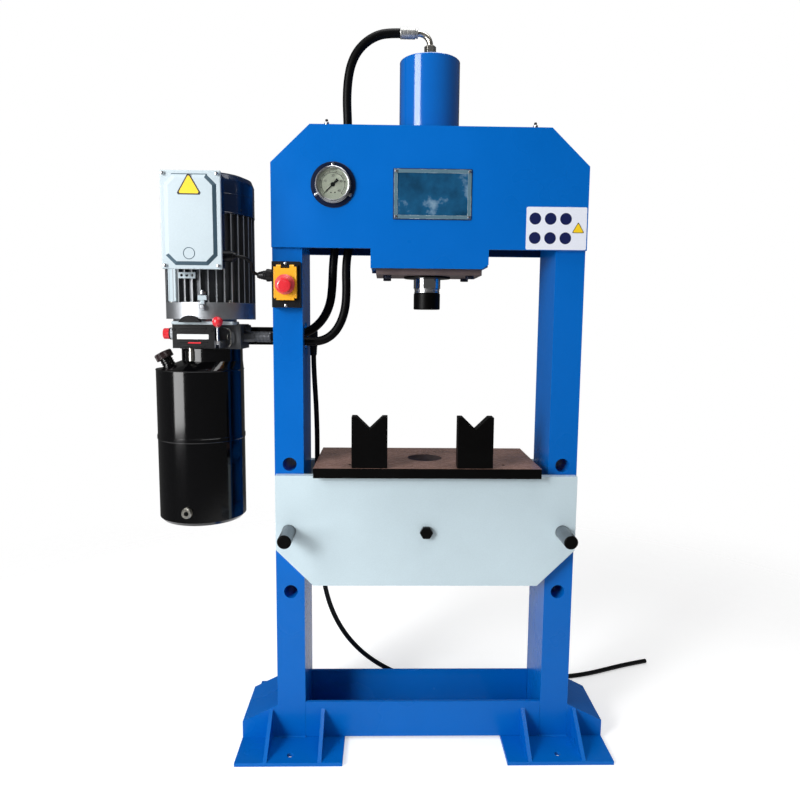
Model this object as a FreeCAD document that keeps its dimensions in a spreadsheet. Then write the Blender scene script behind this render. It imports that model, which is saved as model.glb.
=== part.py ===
import FreeCAD, Part
import Sketcher
import math
import os
import re

# An electric hydraulic H-frame press: a welded frame, a table that hangs on two pins, a
# double-acting cylinder in the crown and a power unit on the left column.
# Frame of the model: origin on the floor under the ram, +X right, +Y back, +Z up, millimetres.

Vector = FreeCAD.Vector
doc = FreeCAD.newDocument("Press")

DIMENSIONS = {
    "welded frame": [
        ("clear_width", 648), ("flange_width", 76), ("crown_gap", 12), ("web_thick", 8),
        ("flange_thick", 10), ("column_overlap", 194), ("base_plate_thick", 10), ("rail_height", 102),
        ("rail_thick", 10), ("foot_margin", 113), ("foot_inward", 108), ("foot_outward", 173),
        ("foot_high", 103), ("foot_low", 55), ("foot_plate_thick", 8), ("gusset_thick", 10),
        ("gusset_height", 82), ("gusset_reach", 112), ("gusset_inward", 48), ("gusset_outward", 94),
        ("anchor_outward", 32), ("anchor_margin", 80), ("anchor_hole", 17), ("hose_slot_width", 84),
        ("hose_slot_height", 72), ("hose_slot_y", -20), ("hose_slot_rise", 3),
    ],
    "crown": [
        ("crown_bottom", 1336), ("crown_height", 300), ("crown_plate_thick", 12), ("shoulder_drop", 93),
        ("crown_corner", 98), ("tab_width", 300), ("tab_drop", 49), ("tab_corner", 16),
        ("tab_corner_height", 11), ("tie_bar_dia", 30), ("tie_bar_inset", 40), ("tie_bar_drop", 34),
        ("seat_thick", 25), ("seat_rise", 5), ("panel_width", 194), ("panel_height", 121),
        ("panel_thick", 3), ("panel_border", 9), ("panel_x", 5), ("panel_rise", 134),
    ],
    "table": [
        ("pin_z", 602), ("hole_pitch", 174.5), ("pin_dia", 36), ("pin_fit", 0.3), ("pin_guide_wall", 5),
        ("pin_inset", 37), ("pin_front", 204), ("pin_back", 136), ("pin_edge", 2.5), ("beam_thick", 24),
        ("beam_gap", 2),
        ("beam_short", 4), ("beam_rise", 150), ("beam_height", 298), ("beam_corner", 98),
        ("spacer_thick", 12), ("spacer_height", 200), ("spacer_x", 215), ("spacer_drop", 50),
        ("bed_gap", 30), ("bed_depth", 288), ("bed_thick", 26), ("bed_hole", 95), ("tap_hole", 10),
        ("tap_x", 202), ("tap_y", 94), ("block_width", 92), ("block_height", 133), ("block_depth", 40),
        ("notch_width", 66), ("notch_depth", 32), ("left_block_x", -150), ("right_block_x", 122),
        ("lift_bolt_dia", 20), ("lift_bolt_flats", 30),
    ],
    "cylinder": [
        ("barrel_bore", 125), ("barrel_wall", 15.5), ("barrel_length", 547), ("cap_thick", 30),
        ("mount_width", 272), ("mount_gap", 8), ("mount_thick", 20), ("bolt_x", 107), ("bolt_y", 60),
        ("bolt_dia", 12), ("bolt_flats", 19), ("bolt_head", 8), ("rod_dia", 72), ("rod_fit", 0.05),
        ("rod_out", 26), ("gland_length", 168), ("gland_drop", 5), ("piston_height", 55),
        ("piston_gap", 11), ("spigot_dia", 36), ("piston_nut_flats", 55), ("piston_nut_height", 18),
        ("seal_height", 10), ("seal_depth", 6), ("bore_fit", 0.1), ("nose_dia", 71), ("nose_height", 43),
        ("nose_ring_height", 13), ("nose_ring_dia", 68), ("stud_dia", 30), ("stud_height", 28),
        ("port_dia", 14), ("port_rise", 8), ("top_nut_flats", 27), ("top_nut_height", 41),
        ("pipe_dia", 15.5), ("pipe_bend", 30), ("ferrule_length", 46), ("ferrule_dia", 28),
        ("boss_dia", 36), ("boss_length", 18),
    ],
    "hoses and cables": [
        ("line_z", 1109), ("front_line", 15), ("back_line", 25), ("hose_dia", 23),
        ("line_nut_length", 27), ("line_nut_flats", 24), ("motor_cable_dia", 8), ("power_cord_dia", 14),
        ("cord_gland_inset", 13), ("cord_gland_y", 48), ("cord_gland_drop", 19), ("cord_gland_dia", 24),
        ("cord_gland_length", 34),
    ],
    "gauge": [
        ("gauge_x", -244), ("gauge_rise", 154), ("gauge_flange_dia", 112), ("gauge_flange_thick", 4),
        ("gauge_bezel_dia", 88), ("gauge_front", 16), ("gauge_case_dia", 80), ("gauge_back", 34),
        ("gauge_wall", 3), ("gauge_stem", 14), ("dial_depth", 11), ("dial_thick", 1.5), ("glass_thick", 2),
        ("gauge_screw_pcd", 99), ("screw_dia", 5), ("screw_head_dia", 9), ("screw_head", 3),
        ("pointer_length", 29), ("pointer_tail", 17), ("pointer_thick", 1), ("pointer_pin", 3),
        ("pointer_fit", 0.05),
    ],
    "control": [
        ("switch_z", 1242), ("switch_width", 70), ("switch_height", 114), ("switch_depth", 35),
        ("lid_width", 57), ("lid_height", 88), ("lid_depth", 12), ("lid_wall", 2), ("lid_rise", 5),
        ("lid_pin_dia", 4), ("stop_dia", 36), ("stop_collar_dia", 50), ("stop_collar", 12),
        ("stop_head", 11), ("stop_travel", 5), ("stop_stem", 14), ("stop_drop", 9), ("key_dia", 18),
        ("key_height", 4), ("key_spread", 40), ("key_fit", 0.3), ("entry_dia", 30), ("entry_length", 16),
        ("entry_forward", 23), ("entry_rise", 23),
    ],
    "power unit": [
        ("unit_outward", 247), ("unit_y", -30), ("motor_rise", 45), ("shield_height", 42),
        ("housing_height", 261), ("cowl_height", 100), ("motor_dia", 228), ("fin_height", 13),
        ("fin_thick", 3), ("fin_count", 36), ("core_thick", 13), ("cowl_wall", 2), ("cowl_round", 22),
        ("stack_dia", 118), ("shaft_dia", 24), ("shaft_fit", 0.05), ("fan_gap", 15), ("fan_height", 40),
        ("fan_blades", 7), ("box_width", 134), ("box_height", 218), ("box_gap", 5), ("box_depth", 46),
        ("box_wall", 3), ("box_rise", 232), ("box_lid_width", 142), ("box_lid_height", 228),
        ("box_lid_thick", 12), ("box_entry_drop", 80), ("box_entry_depth", 13),
        ("box_gland_length", 29), ("box_gland_dia", 26), ("adapter_dia", 162), ("adapter_shift", 17),
        ("adapter_thick", 12), ("block_left_reach", 69), ("block_right_reach", 87),
        ("block_front_reach", 55), ("block_back_reach", 52), ("relief_flats", 16), ("relief_back", 5),
        ("relief_rise", 22), ("neck_dia", 157), ("neck_height", 32), ("neck_drop", 31),
        ("tank_shift", 33), ("tank_dia", 226), ("tank_height", 400), ("shoulder_height", 24),
        ("tank_wall", 3), ("tank_hole_dia", 120), ("tank_round", 9), ("seam_rise", 223),
        ("pump_width", 88), ("pump_depth", 78), ("pump_height", 96), ("suction_dia", 16),
        ("suction_length", 250), ("drain_flats", 22), ("drain_thread", 12), ("drain_shift", 12),
        ("drain_rise", 38), ("filler_shift", 72), ("filler_forward", 18), ("filler_rise", 2),
        ("filler_tilt", 28), ("filler_dia", 30), ("filler_length", 30), ("filler_root", 20),
        ("cap_dia", 46), ("cap_height", 19), ("valve_left_reach", 74), ("valve_right_reach", 32),
        ("valve_depth", 45), ("valve_drop", 28), ("valve_height", 60), ("coil_dia", 30),
        ("coil_length", 12), ("coil_rise", 8), ("coil_forward", 23), ("knob_dia", 26),
        ("knob_length", 16), ("ball_dia", 26), ("lever_dia", 6), ("lever_shift", 44),
        ("lever_gap", 6), ("lever_drop", 19), ("lever_height", 58), ("bracket_thick", 12),
        ("bracket_drop", 23), ("bracket_height", 48),
    ],
}

# Sizes and places that follow from those above; in an expression each name stands for its text
PLACES = {
    "barrel_dia": "barrel_bore + 2 * barrel_wall",
    "column_depth": "barrel_dia + 2 * crown_gap",
    "mount_depth": "column_depth - 2 * mount_gap",
    "column_top": "crown_bottom + column_overlap",
    "foot_inner": "clear_width / 2 - foot_inward",
    "foot_outer": "clear_width / 2 + foot_outward",
    "foot_length": "column_depth + 2 * foot_margin",
    "gusset_inner": "clear_width / 2 - gusset_inward",
    "gusset_outer": "clear_width / 2 + gusset_outward",
    "anchor_x": "clear_width / 2 + anchor_outward",
    "anchor_y": "column_depth / 2 + anchor_margin",
    "hose_slot_z": "line_z + hose_slot_rise",
    "crown_top": "crown_bottom + crown_height",
    "crown_shoulder": "crown_top - shoulder_drop",
    "crown_top_width": "clear_width + 2 * flange_width - 2 * crown_corner",
    "tab_bottom": "crown_bottom - tab_drop",
    "tie_bar_x": "crown_top_width / 2 - tie_bar_inset",
    "seat_bottom": "tab_bottom + seat_rise",
    "panel_z": "crown_bottom + panel_rise",
    "gauge_z": "crown_bottom + gauge_rise",
    "pin_x": "clear_width / 2 + pin_inset",
    "beam_width": "clear_width + 2 * flange_width - 2 * beam_short",
    "beam_top": "pin_z + beam_rise",
    "bed_width": "clear_width - 2 * bed_gap",
    "mount_bottom": "seat_bottom - mount_thick",
    "barrel_top": "mount_bottom + barrel_length",
    "gland_top": "mount_bottom + gland_length",
    "rod_bottom": "mount_bottom - gland_drop - rod_out",
    "piston_top": "barrel_top - cap_thick - piston_gap - piston_nut_height",
    "piston_bottom": "piston_top - piston_height",
    "lower_port_z": "gland_top + port_rise",
    "pipe_z": "barrel_top + top_nut_height + pipe_bend + 2",
    "front_line_y": "unit_y - front_line",
    "back_line_y": "unit_y + back_line",
    "cord_gland_x": "-(clear_width / 2 - cord_gland_inset)",
    "cord_gland_z": "line_z - cord_gland_drop",
    "switch_x": "-pin_x",
    "entry_y": "-(column_depth / 2 + entry_forward)",
    "entry_z": "switch_z + entry_rise",
    "motor_x": "-(clear_width / 2 + unit_outward)",
    "motor_bottom": "line_z + motor_rise",
    "fin_root_dia": "motor_dia - 2 * fin_height",
    "stator_bore": "fin_root_dia - 2 * core_thick",
    "fan_dia": "motor_dia - 2 * cowl_wall + 2 - 2 * fan_gap",
    "box_back": "motor_dia / 2 + box_gap",
    "stator_top": "motor_bottom + housing_height",
    "cowl_top": "stator_top + cowl_height",
    "box_middle": "motor_bottom + box_rise",
    "box_gland_z": "box_middle - box_entry_drop",
    "box_gland_y": "unit_y - box_back - box_entry_depth",
    "adapter_x": "motor_x - adapter_shift",
    "block_left": "motor_x - block_left_reach",
    "block_right": "motor_x + block_right_reach",
    "block_front": "unit_y - block_front_reach",
    "block_back": "unit_y + block_back_reach",
    "relief_y": "unit_y + relief_back",
    "relief_z": "line_z + relief_rise",
    "neck_top": "line_z - neck_drop",
    "neck_bottom": "neck_top - neck_height",
    "tank_x": "motor_x - tank_shift",
    "tank_top": "neck_bottom - shoulder_height",
    "tank_bottom": "tank_top - tank_height",
    "seam_z": "tank_bottom + seam_rise",
    "drain_x": "tank_x - drain_shift",
    "drain_z": "tank_bottom + drain_rise",
    "filler_x": "tank_x - filler_shift",
    "filler_y": "unit_y - filler_forward",
    "filler_z": "tank_top + filler_rise",
    "valve_left": "motor_x - valve_left_reach",
    "valve_right": "motor_x + valve_right_reach",
    "valve_front": "block_front - valve_depth",
    "valve_bottom": "line_z - valve_drop",
    "valve_top": "valve_bottom + valve_height",
    "coil_y": "block_front - coil_forward",
    "coil_z": "line_z + coil_rise",
    "lever_x": "motor_x + lever_shift",
    "lever_y": "unit_y - motor_dia / 2 - lever_gap",
    "lever_bottom": "line_z - lever_drop",
    "lever_top": "lever_bottom + lever_height",
    "bracket_bottom": "line_z - bracket_drop",
}

sheet = doc.addObject("Spreadsheet::Sheet", "Sizes")
value = {}
row = 1
for group, entries in DIMENSIONS.items():
    sheet.set(f"A{row}", group)
    row += 1
    for alias, number in entries:
        sheet.set(f"A{row}", alias)
        sheet.set(f"B{row}", str(number))
        sheet.setAlias(f"B{row}", alias)
        value[alias] = float(number)
        row += 1
doc.recompute()

finished = []
counter = {}


def read_name(match):
    word = match.group(0)
    if word in PLACES:
        return f"({expression(PLACES[word])})"
    return "Sizes." + word if word in value else word


def expression(text):
    """An expression over the sheet: every name in the text is a place or is read from Sizes."""
    return re.sub(r"[a-z][a-z_]*", read_name, str(text))


def bind(thing, **links):
    for name, text in links.items():
        thing.setExpression(name.replace("__", "."), expression(text))


def unique(kind):
    counter[kind] = counter.get(kind, 0) + 1
    return f"{kind}{counter[kind]}"


def node(thing, label):
    """Marks a finished sub-part, whose label names its file."""
    thing.Label = label
    finished.append(thing)
    return thing


def place(thing, x="0", y="0", z="0", turn=None):
    """Puts a thing at x, y, z, turned by a rotation."""
    if turn is not None:
        thing.Placement = FreeCAD.Placement(Vector(), turn)
    bind(thing, Placement__Base__x=x, Placement__Base__y=y, Placement__Base__z=z)
    return thing


def box(x, y, z, length, width, height):
    """A box from its low corner."""
    thing = doc.addObject("Part::Box", unique("Box"))
    bind(thing, Length=length, Width=width, Height=height)
    return place(thing, x, y, z)


ABOUT_X = Vector(1, 0, 0)
ABOUT_Y = Vector(0, 1, 0)
TURNS = {"x": FreeCAD.Rotation(ABOUT_Y, 90), "-x": FreeCAD.Rotation(ABOUT_Y, -90),
         "y": FreeCAD.Rotation(ABOUT_X, -90), "-y": FreeCAD.Rotation(ABOUT_X, 90), "z": None}


def rod(diameter, length, x="0", y="0", z="0", along="z"):
    """A cylinder from the centre of its first face, along an axis."""
    thing = doc.addObject("Part::Cylinder", unique("Rod"))
    bind(thing, Radius=f"({diameter}) / 2", Height=length)
    return place(thing, x, y, z, TURNS[along])


def cone(first, last, length, x="0", y="0", z="0", along="z"):
    """A cone frustum between two diameters."""
    thing = doc.addObject("Part::Cone", unique("Cone"))
    bind(thing, Radius1=f"({first}) / 2", Radius2=f"({last}) / 2", Height=length)
    return place(thing, x, y, z, TURNS[along])


def hexagon(flats, length, x="0", y="0", z="0", along="z"):
    """A hexagonal prism by its width across flats."""
    thing = doc.addObject("Part::Prism", unique("Hexagon"))
    thing.Polygon = 6
    bind(thing, Circumradius=f"({flats}) / 2 / cos(30)", Height=length)
    return place(thing, x, y, z, TURNS[along])


def fuse(*pieces):
    thing = doc.addObject("Part::MultiFuse", unique("Fusion"))
    thing.Shapes = list(pieces)
    return thing


def cut(base, *tools):
    thing = doc.addObject("Part::Cut", unique("Cut"))
    thing.Base = base
    thing.Tool = tools[0] if len(tools) == 1 else fuse(*tools)
    return thing


def group(*pieces):
    """Separate solids that share one node."""
    thing = doc.addObject("Part::Compound", unique("Group"))
    thing.Links = list(pieces)
    return thing


def plane_of(body, role):
    return next(item for item in body.Origin.OriginFeatures if item.Role == role)


def draw(sketch, points, circles=()):
    """Draws a closed outline and round holes, each size bound to the sheet."""
    count = len(points)
    rough = [Vector(50 * math.cos(2 * math.pi * i / count), 50 * math.sin(2 * math.pi * i / count), 0)
             for i in range(count)]
    for i in range(count):
        sketch.addGeometry(Part.LineSegment(rough[i], rough[(i + 1) % count]), False)
    for i in range(count):
        sketch.addConstraint(Sketcher.Constraint("Coincident", i, 2, (i + 1) % count, 1))
    for i, (across, up) in enumerate(points):
        pin_point(sketch, i, 1, across, up)
    for i, (across, up, diameter) in enumerate(circles):
        circle = sketch.addGeometry(Part.Circle(Vector(i * 9, 0, 0), Vector(0, 0, 1), 3), False)
        pin_point(sketch, circle, 3, across, up)
        index = sketch.addConstraint(Sketcher.Constraint("Diameter", circle, 6.0))
        sketch.setExpression(f"Constraints[{index}]", expression(diameter))


def pin_point(sketch, geometry, vertex, across, up):
    """Holds a point of the sketch at two distances from its origin."""
    for kind, text in (("DistanceX", across), ("DistanceY", up)):
        index = sketch.addConstraint(Sketcher.Constraint(kind, -1, 1, geometry, vertex, 1.0))
        sketch.setExpression(f"Constraints[{index}]", expression(text))


def new_sketch(role):
    body = doc.addObject("PartDesign::Body", unique("Body"))
    sketch = body.newObject("Sketcher::SketchObject", unique("Sketch"))
    sketch.AttachmentSupport = [(plane_of(body, role), "")]
    sketch.MapMode = "FlatFace"
    return body, sketch


def plate(role, points, thickness, circles=(), both_ways=False):
    """A plate padded from an outline; on XZ_Plane it grows towards -Y."""
    body, sketch = new_sketch(role)
    draw(sketch, points, circles)
    pad = body.newObject("PartDesign::Pad", unique("Pad"))
    pad.Profile = sketch
    pad.Midplane = both_ways
    bind(pad, Length=thickness)
    return body


def turned(points):
    """A turned piece about its own Z axis, from an outline of (radius, height) points."""
    body, sketch = new_sketch("XZ_Plane")
    draw(sketch, points)
    revolution = body.newObject("PartDesign::Revolution", unique("Revolution"))
    revolution.Profile = sketch
    revolution.ReferenceAxis = (sketch, ["V_Axis"])
    revolution.Angle = 360
    return body


def mirrored(points):
    """An outline's right half from top to bottom, completed with its mirror image."""
    return points + [(f"-({across})", up) for across, up in reversed(points)]


# The welded frame

HALF_DEPTH = "column_depth / 2"
HALF_CLEAR = "clear_width / 2"
CROWN_HALF = "(clear_width / 2 + flange_width)"
PIN_HOLE = "(pin_dia + 2 * pin_fit)"


def column(side, label):
    """A channel on end, its web towards the work, with a tube between its flanges at each pin hole."""
    web_in = f"{side} * {HALF_CLEAR}"
    web_out = f"{side} * ({HALF_CLEAR} + web_thick)"
    tip = f"{side} * {CROWN_HALF}"
    inside = f"({HALF_DEPTH} - flange_thick)"
    profile = [(web_in, f"-{HALF_DEPTH}"), (tip, f"-{HALF_DEPTH}"), (tip, f"-{inside}"),
               (web_out, f"-{inside}"), (web_out, inside), (tip, inside), (tip, HALF_DEPTH),
               (web_in, HALF_DEPTH)]
    channel = plate("XY_Plane", profile, "column_top - base_plate_thick")
    place(channel, z="base_plate_thick")
    levels = [f"pin_z + {step} * hole_pitch" for step in (-1, 0, 1)]
    guides = [rod(f"{PIN_HOLE} + 2 * pin_guide_wall", f"2 * {inside} + 2", f"{side} * pin_x",
                  f"-{inside} - 1", level, "y") for level in levels]
    holes = [rod(PIN_HOLE, "column_depth + 2", f"{side} * pin_x", f"-{HALF_DEPTH} - 1", level, "y")
             for level in levels]
    if side == "-1":
        holes += hose_slot()
        holes += [rod("screw_dia + 0.2", "flange_thick + 2", x, f"-{HALF_DEPTH} - 1", z, "y")
                  for x, z in switch_screw_places()]
    return node(cut(fuse(channel, *guides), *holes), label)


def hose_slot():
    """The round-ended slot that lets the hoses through the left web."""
    start = f"-{HALF_CLEAR} - web_thick - 1"
    reach = "(hose_slot_width - hose_slot_height) / 2"
    ends = [rod("hose_slot_height", "web_thick + 2", start, f"hose_slot_y + {sign} * {reach}",
                "hose_slot_z", "x") for sign in ("-1", "1")]
    middle = box(start, f"hose_slot_y - {reach}", "hose_slot_z - hose_slot_height / 2",
                 "web_thick + 2", f"2 * {reach}", "hose_slot_height")
    stub = rod("cord_gland_dia - 4", "web_thick + 2", start, "cord_gland_y",
               "cord_gland_z + cord_gland_length - cord_gland_dia / 2", "x")
    return ends + [middle, stub]


def crown_outline():
    return [("crown_top_width / 2", "crown_top"), (CROWN_HALF, "crown_shoulder"),
            (CROWN_HALF, "crown_bottom"), ("tab_width / 2", "crown_bottom"),
            ("tab_width / 2", "tab_bottom + tab_corner_height"),
            ("tab_width / 2 - tab_corner", "tab_bottom"), ("-tab_width / 2", "tab_bottom"),
            ("-tab_width / 2", "crown_bottom"), (f"-{CROWN_HALF}", "crown_bottom"),
            (f"-{CROWN_HALF}", "crown_shoulder"), ("-crown_top_width / 2", "crown_top")]


def gauge_screw_places():
    """Three screws about the gauge, one of them straight up."""
    return [(f"gauge_x + gauge_screw_pcd / 2 * cos({turn})", f"gauge_z + gauge_screw_pcd / 2 * sin({turn})")
            for turn in (90, 210, 330)]


def rivet_places():
    """Four rivets in the corners of the name plate."""
    return [(f"panel_x + {across} * (panel_width / 2 - 5)", f"panel_z + {up} * (panel_height / 2 - 5)")
            for across in ("-1", "1") for up in ("-1", "1")]


def crown():
    screws = [(x, z, "screw_dia + 0.2") for x, z in gauge_screw_places() + rivet_places()]
    gauge_hole = [("gauge_x", "gauge_z", "gauge_case_dia + 2")]
    front = plate("XZ_Plane", crown_outline(), "crown_plate_thick", gauge_hole + screws)
    node(place(front, y=f"-{HALF_DEPTH}"), "crown_front_plate")
    rear = plate("XZ_Plane", crown_outline(), "crown_plate_thick")
    node(place(rear, y=f"{HALF_DEPTH} + crown_plate_thick"), "crown_rear_plate")
    bars = [rod("tie_bar_dia", "column_depth", f"{side} * tie_bar_x", f"-{HALF_DEPTH}",
                "crown_top - tie_bar_drop", "y") for side in ("-1", "1")]
    node(group(*bars), "crown_tie_bars")
    seat = box("-tab_width / 2", f"-{HALF_DEPTH}", "seat_bottom", "tab_width", "column_depth", "seat_thick")
    barrel_hole = rod("barrel_dia + 2", "seat_thick + 2", z="seat_bottom - 1")
    node(cut(seat, barrel_hole, *flange_bolt_rods("bolt_dia + 0.2", "seat_thick + 2", "seat_bottom - 1")),
         "crown_seat_plate")


def flange_bolt_rods(diameter, length, z):
    return [rod(diameter, length, f"{across} * bolt_x", f"{back} * bolt_y", z)
            for across in ("-1", "1") for back in ("-1", "1")]


def base_rail(y, label):
    node(box(f"-{HALF_CLEAR}", y, "base_plate_thick", "clear_width", "rail_thick", "rail_height"), label)


def low_x(side, near, far):
    """The lower x of a piece that spans from near to far on one side of the middle."""
    return near if side == "1" else f"-({far})"


def foot(side, label):
    """A base plate with anchor holes, a sloping end box beside the column and four gussets."""
    length = "foot_outer - foot_inner"
    base = box(low_x(side, "foot_inner", "foot_outer"), "-foot_length / 2", "0", length, "foot_length",
               "base_plate_thick")
    anchors = [rod("anchor_hole", "base_plate_thick + 2", f"{side} * anchor_x", f"{back} * anchor_y", "-1")
               for back in ("-1", "1")]
    pieces = [cut(base, *anchors), end_box(side)]
    for x in ("gusset_inner", "gusset_outer"):
        for back in ("-1", "1"):
            pieces.append(gusset(f"{side} * {x} - gusset_thick / 2", back))
    node(fuse(*pieces), label)


def end_box(side):
    """Front, rear, end and sloping cover plates of the foot, welded into one hollow box."""
    outer = [(f"{side} * {CROWN_HALF}", "base_plate_thick"), (f"{side} * foot_outer", "base_plate_thick"),
             (f"{side} * foot_outer", "foot_low"), (f"{side} * {CROWN_HALF}", "foot_high")]
    inner = [(f"{side} * ({CROWN_HALF} - 1)", "base_plate_thick - 1"),
             (f"{side} * (foot_outer - foot_plate_thick)", "base_plate_thick - 1"),
             (f"{side} * (foot_outer - foot_plate_thick)", "foot_low - foot_plate_thick"),
             (f"{side} * ({CROWN_HALF} - 1)", "foot_high - foot_plate_thick")]
    solid = plate("XZ_Plane", outer, "column_depth", both_ways=True)
    hollow = plate("XZ_Plane", inner, "column_depth - 2 * foot_plate_thick", both_ways=True)
    return cut(solid, hollow)


def gusset(x, back):
    """A triangular rib between the base plate and the upright face before or behind it."""
    face = f"{back} * {HALF_DEPTH}"
    outline = [(face, "base_plate_thick"), (f"{back} * ({HALF_DEPTH} + gusset_reach)", "base_plate_thick"),
               (face, "base_plate_thick + gusset_height")]
    return place(plate("YZ_Plane", outline, "gusset_thick"), x=x)


def welded_frame():
    column("-1", "left_column")
    column("1", "right_column")
    crown()
    base_rail(f"-{HALF_DEPTH}", "front_base_rail")
    base_rail(f"{HALF_DEPTH} - rail_thick", "rear_base_rail")
    foot("-1", "left_foot")
    foot("1", "right_foot")


# The table

BEAM_FACE = "(column_depth / 2 + beam_gap)"


def beam(y, label):
    """A cross plate of the table, with its lower corners cut off."""
    outline = [("beam_width / 2", "beam_top"), ("beam_width / 2", "beam_top - beam_height + beam_corner"),
               ("beam_width / 2 - beam_corner", "beam_top - beam_height")]
    holes = [("-pin_x", "pin_z", PIN_HOLE), ("pin_x", "pin_z", PIN_HOLE),
             ("0", "pin_z", "lift_bolt_dia + 0.4")]
    node(place(plate("XZ_Plane", mirrored(outline), "beam_thick", holes), y=y), label)


def spacers():
    """Two ribs that hold the beams apart."""
    ribs = [box(f"{side} * spacer_x - spacer_thick / 2", f"-{BEAM_FACE}",
                "beam_top - spacer_drop - spacer_height", "spacer_thick", f"2 * {BEAM_FACE}",
                "spacer_height") for side in ("-1", "1")]
    node(group(*ribs), "table_spacers")


def lifting_bolts():
    """A bolt and nut in the middle of each beam, to hang the table from while it is moved."""
    solids = []
    for facing, side in (("-y", "-1"), ("y", "1")):
        outside = f"{side} * ({BEAM_FACE} + beam_thick)"
        inside = f"{side} * ({BEAM_FACE} - 16)"
        head = hexagon("lift_bolt_flats", "13", y=outside, z="pin_z", along=facing)
        shank = rod("lift_bolt_dia", "beam_thick + 24", y=f"{side} * ({BEAM_FACE} - 24)", z="pin_z",
                    along=facing)
        nut = cut(hexagon("lift_bolt_flats", "16", y=inside, z="pin_z", along=facing),
                  rod("lift_bolt_dia", "18", y=f"{side} * ({BEAM_FACE} - 17)", z="pin_z", along=facing))
        solids += [fuse(head, shank), nut]
    node(group(*solids), "lifting_bolts")


def bed():
    half_x = "bed_width / 2"
    half_y = "bed_depth / 2"
    corners = [(half_x, f"-{half_y}"), (half_x, half_y), (f"-{half_x}", half_y),
               (f"-{half_x}", f"-{half_y}")]
    holes = [("0", "0", "bed_hole")]
    holes += [(f"{across} * tap_x", f"{back} * tap_y", "tap_hole") for across in ("-1", "1")
              for back in ("-1", "1")]
    node(place(plate("XY_Plane", corners, "bed_thick", holes), z="beam_top"), "bed_plate")


def v_block(x, label):
    """A block with a right-angled notch across its top, standing at the front of the bed."""
    half = "block_width / 2"
    outline = [(f"-{half}", "0"), (half, "0"), (half, "block_height"), ("notch_width / 2", "block_height"),
               ("0", "block_height - notch_depth"), ("-notch_width / 2", "block_height"),
               (f"-{half}", "block_height")]
    block = plate("XZ_Plane", outline, "block_depth")
    node(place(block, x=x, y="-bed_depth / 2 + block_depth + 2", z="beam_top + bed_thick"), label)


def table_pin(side, label):
    """A plain pin through both beams and both flanges of a column."""
    length = "(pin_front + pin_back)"
    outline = [("0", "0"), ("pin_dia / 2 - pin_edge", "0"), ("pin_dia / 2", "pin_edge"),
               ("pin_dia / 2", f"{length} - pin_edge"), ("pin_dia / 2 - pin_edge", length), ("0", length)]
    node(place(turned(outline), f"{side} * pin_x", "-pin_front", "pin_z", TURNS["y"]), label)


def table():
    beam(f"-{BEAM_FACE}", "table_front_beam")
    beam(f"{BEAM_FACE} + beam_thick", "table_rear_beam")
    spacers()
    lifting_bolts()
    bed()
    v_block("left_block_x", "left_v_block")
    v_block("right_block_x", "right_v_block")
    table_pin("-1", "left_pin")
    table_pin("1", "right_pin")


# The cylinder and its ram

NOSE_TOP = "(rod_bottom - nose_ring_height)"
NOSE_BOTTOM = "(rod_bottom - nose_ring_height - nose_height)"


def barrel():
    """The tube with its closed top, its mounting plate and the boss of the lower port."""
    bore = "barrel_bore / 2"
    outside = "barrel_dia / 2"
    tube = turned([(bore, "mount_bottom"), (outside, "mount_bottom"), (outside, "barrel_top - 3"),
                   (f"{outside} - 3", "barrel_top"), ("port_dia / 2", "barrel_top"),
                   ("port_dia / 2", "barrel_top - cap_thick"), (bore, "barrel_top - cap_thick")])
    mount = cut(box("-mount_width / 2", "-mount_depth / 2", "mount_bottom", "mount_width", "mount_depth",
                    "mount_thick"), rod("barrel_bore", "mount_thick + 2", z="mount_bottom - 1"),
                *flange_bolt_rods("bolt_dia + 1", "mount_thick + 2", "mount_bottom - 1"))
    boss = rod("boss_dia", "boss_length + 4", f"-({outside} - 4)", z="lower_port_z", along="-x")
    port = rod("port_dia", f"{outside} + boss_length", z="lower_port_z", along="-x")
    node(cut(fuse(tube, mount, cut(boss, rod("barrel_bore", "100", z="lower_port_z - 50"))), port),
         "cylinder_barrel")


def gland():
    """The sleeve that guides the ram in the lower end of the barrel."""
    inside = "rod_dia / 2 + rod_fit"
    outside = "(barrel_bore / 2 - bore_fit)"
    bottom = "mount_bottom - gland_drop"
    node(turned([(inside, bottom), (outside, bottom), (outside, "gland_top - 10"),
                 (f"{outside} - 8", "gland_top"), (inside, "gland_top")]), "rod_gland")


def ram():
    """The chromed rod with its spigot for the piston and its socket for the nose."""
    socket = "stud_dia / 2 + 0.1"
    end = "piston_top + piston_nut_height"
    depth = "rod_bottom + stud_height + 2"
    node(turned([(socket, "rod_bottom"), ("rod_dia / 2", "rod_bottom"), ("rod_dia / 2", "piston_bottom"),
                 ("spigot_dia / 2", "piston_bottom"), ("spigot_dia / 2", end), ("0", end), ("0", depth),
                 (socket, depth)]), "ram_rod")
    stud_top = "rod_bottom + stud_height"
    nose = "nose_dia / 2"
    node(turned([("0", NOSE_BOTTOM), (f"{nose} - 2", NOSE_BOTTOM), (nose, f"{NOSE_BOTTOM} + 2"),
                 (nose, NOSE_TOP), ("nose_ring_dia / 2", NOSE_TOP), ("nose_ring_dia / 2", "rod_bottom"),
                 ("stud_dia / 2", "rod_bottom"), ("stud_dia / 2", stud_top), ("0", stud_top)]), "ram_nose")


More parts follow.
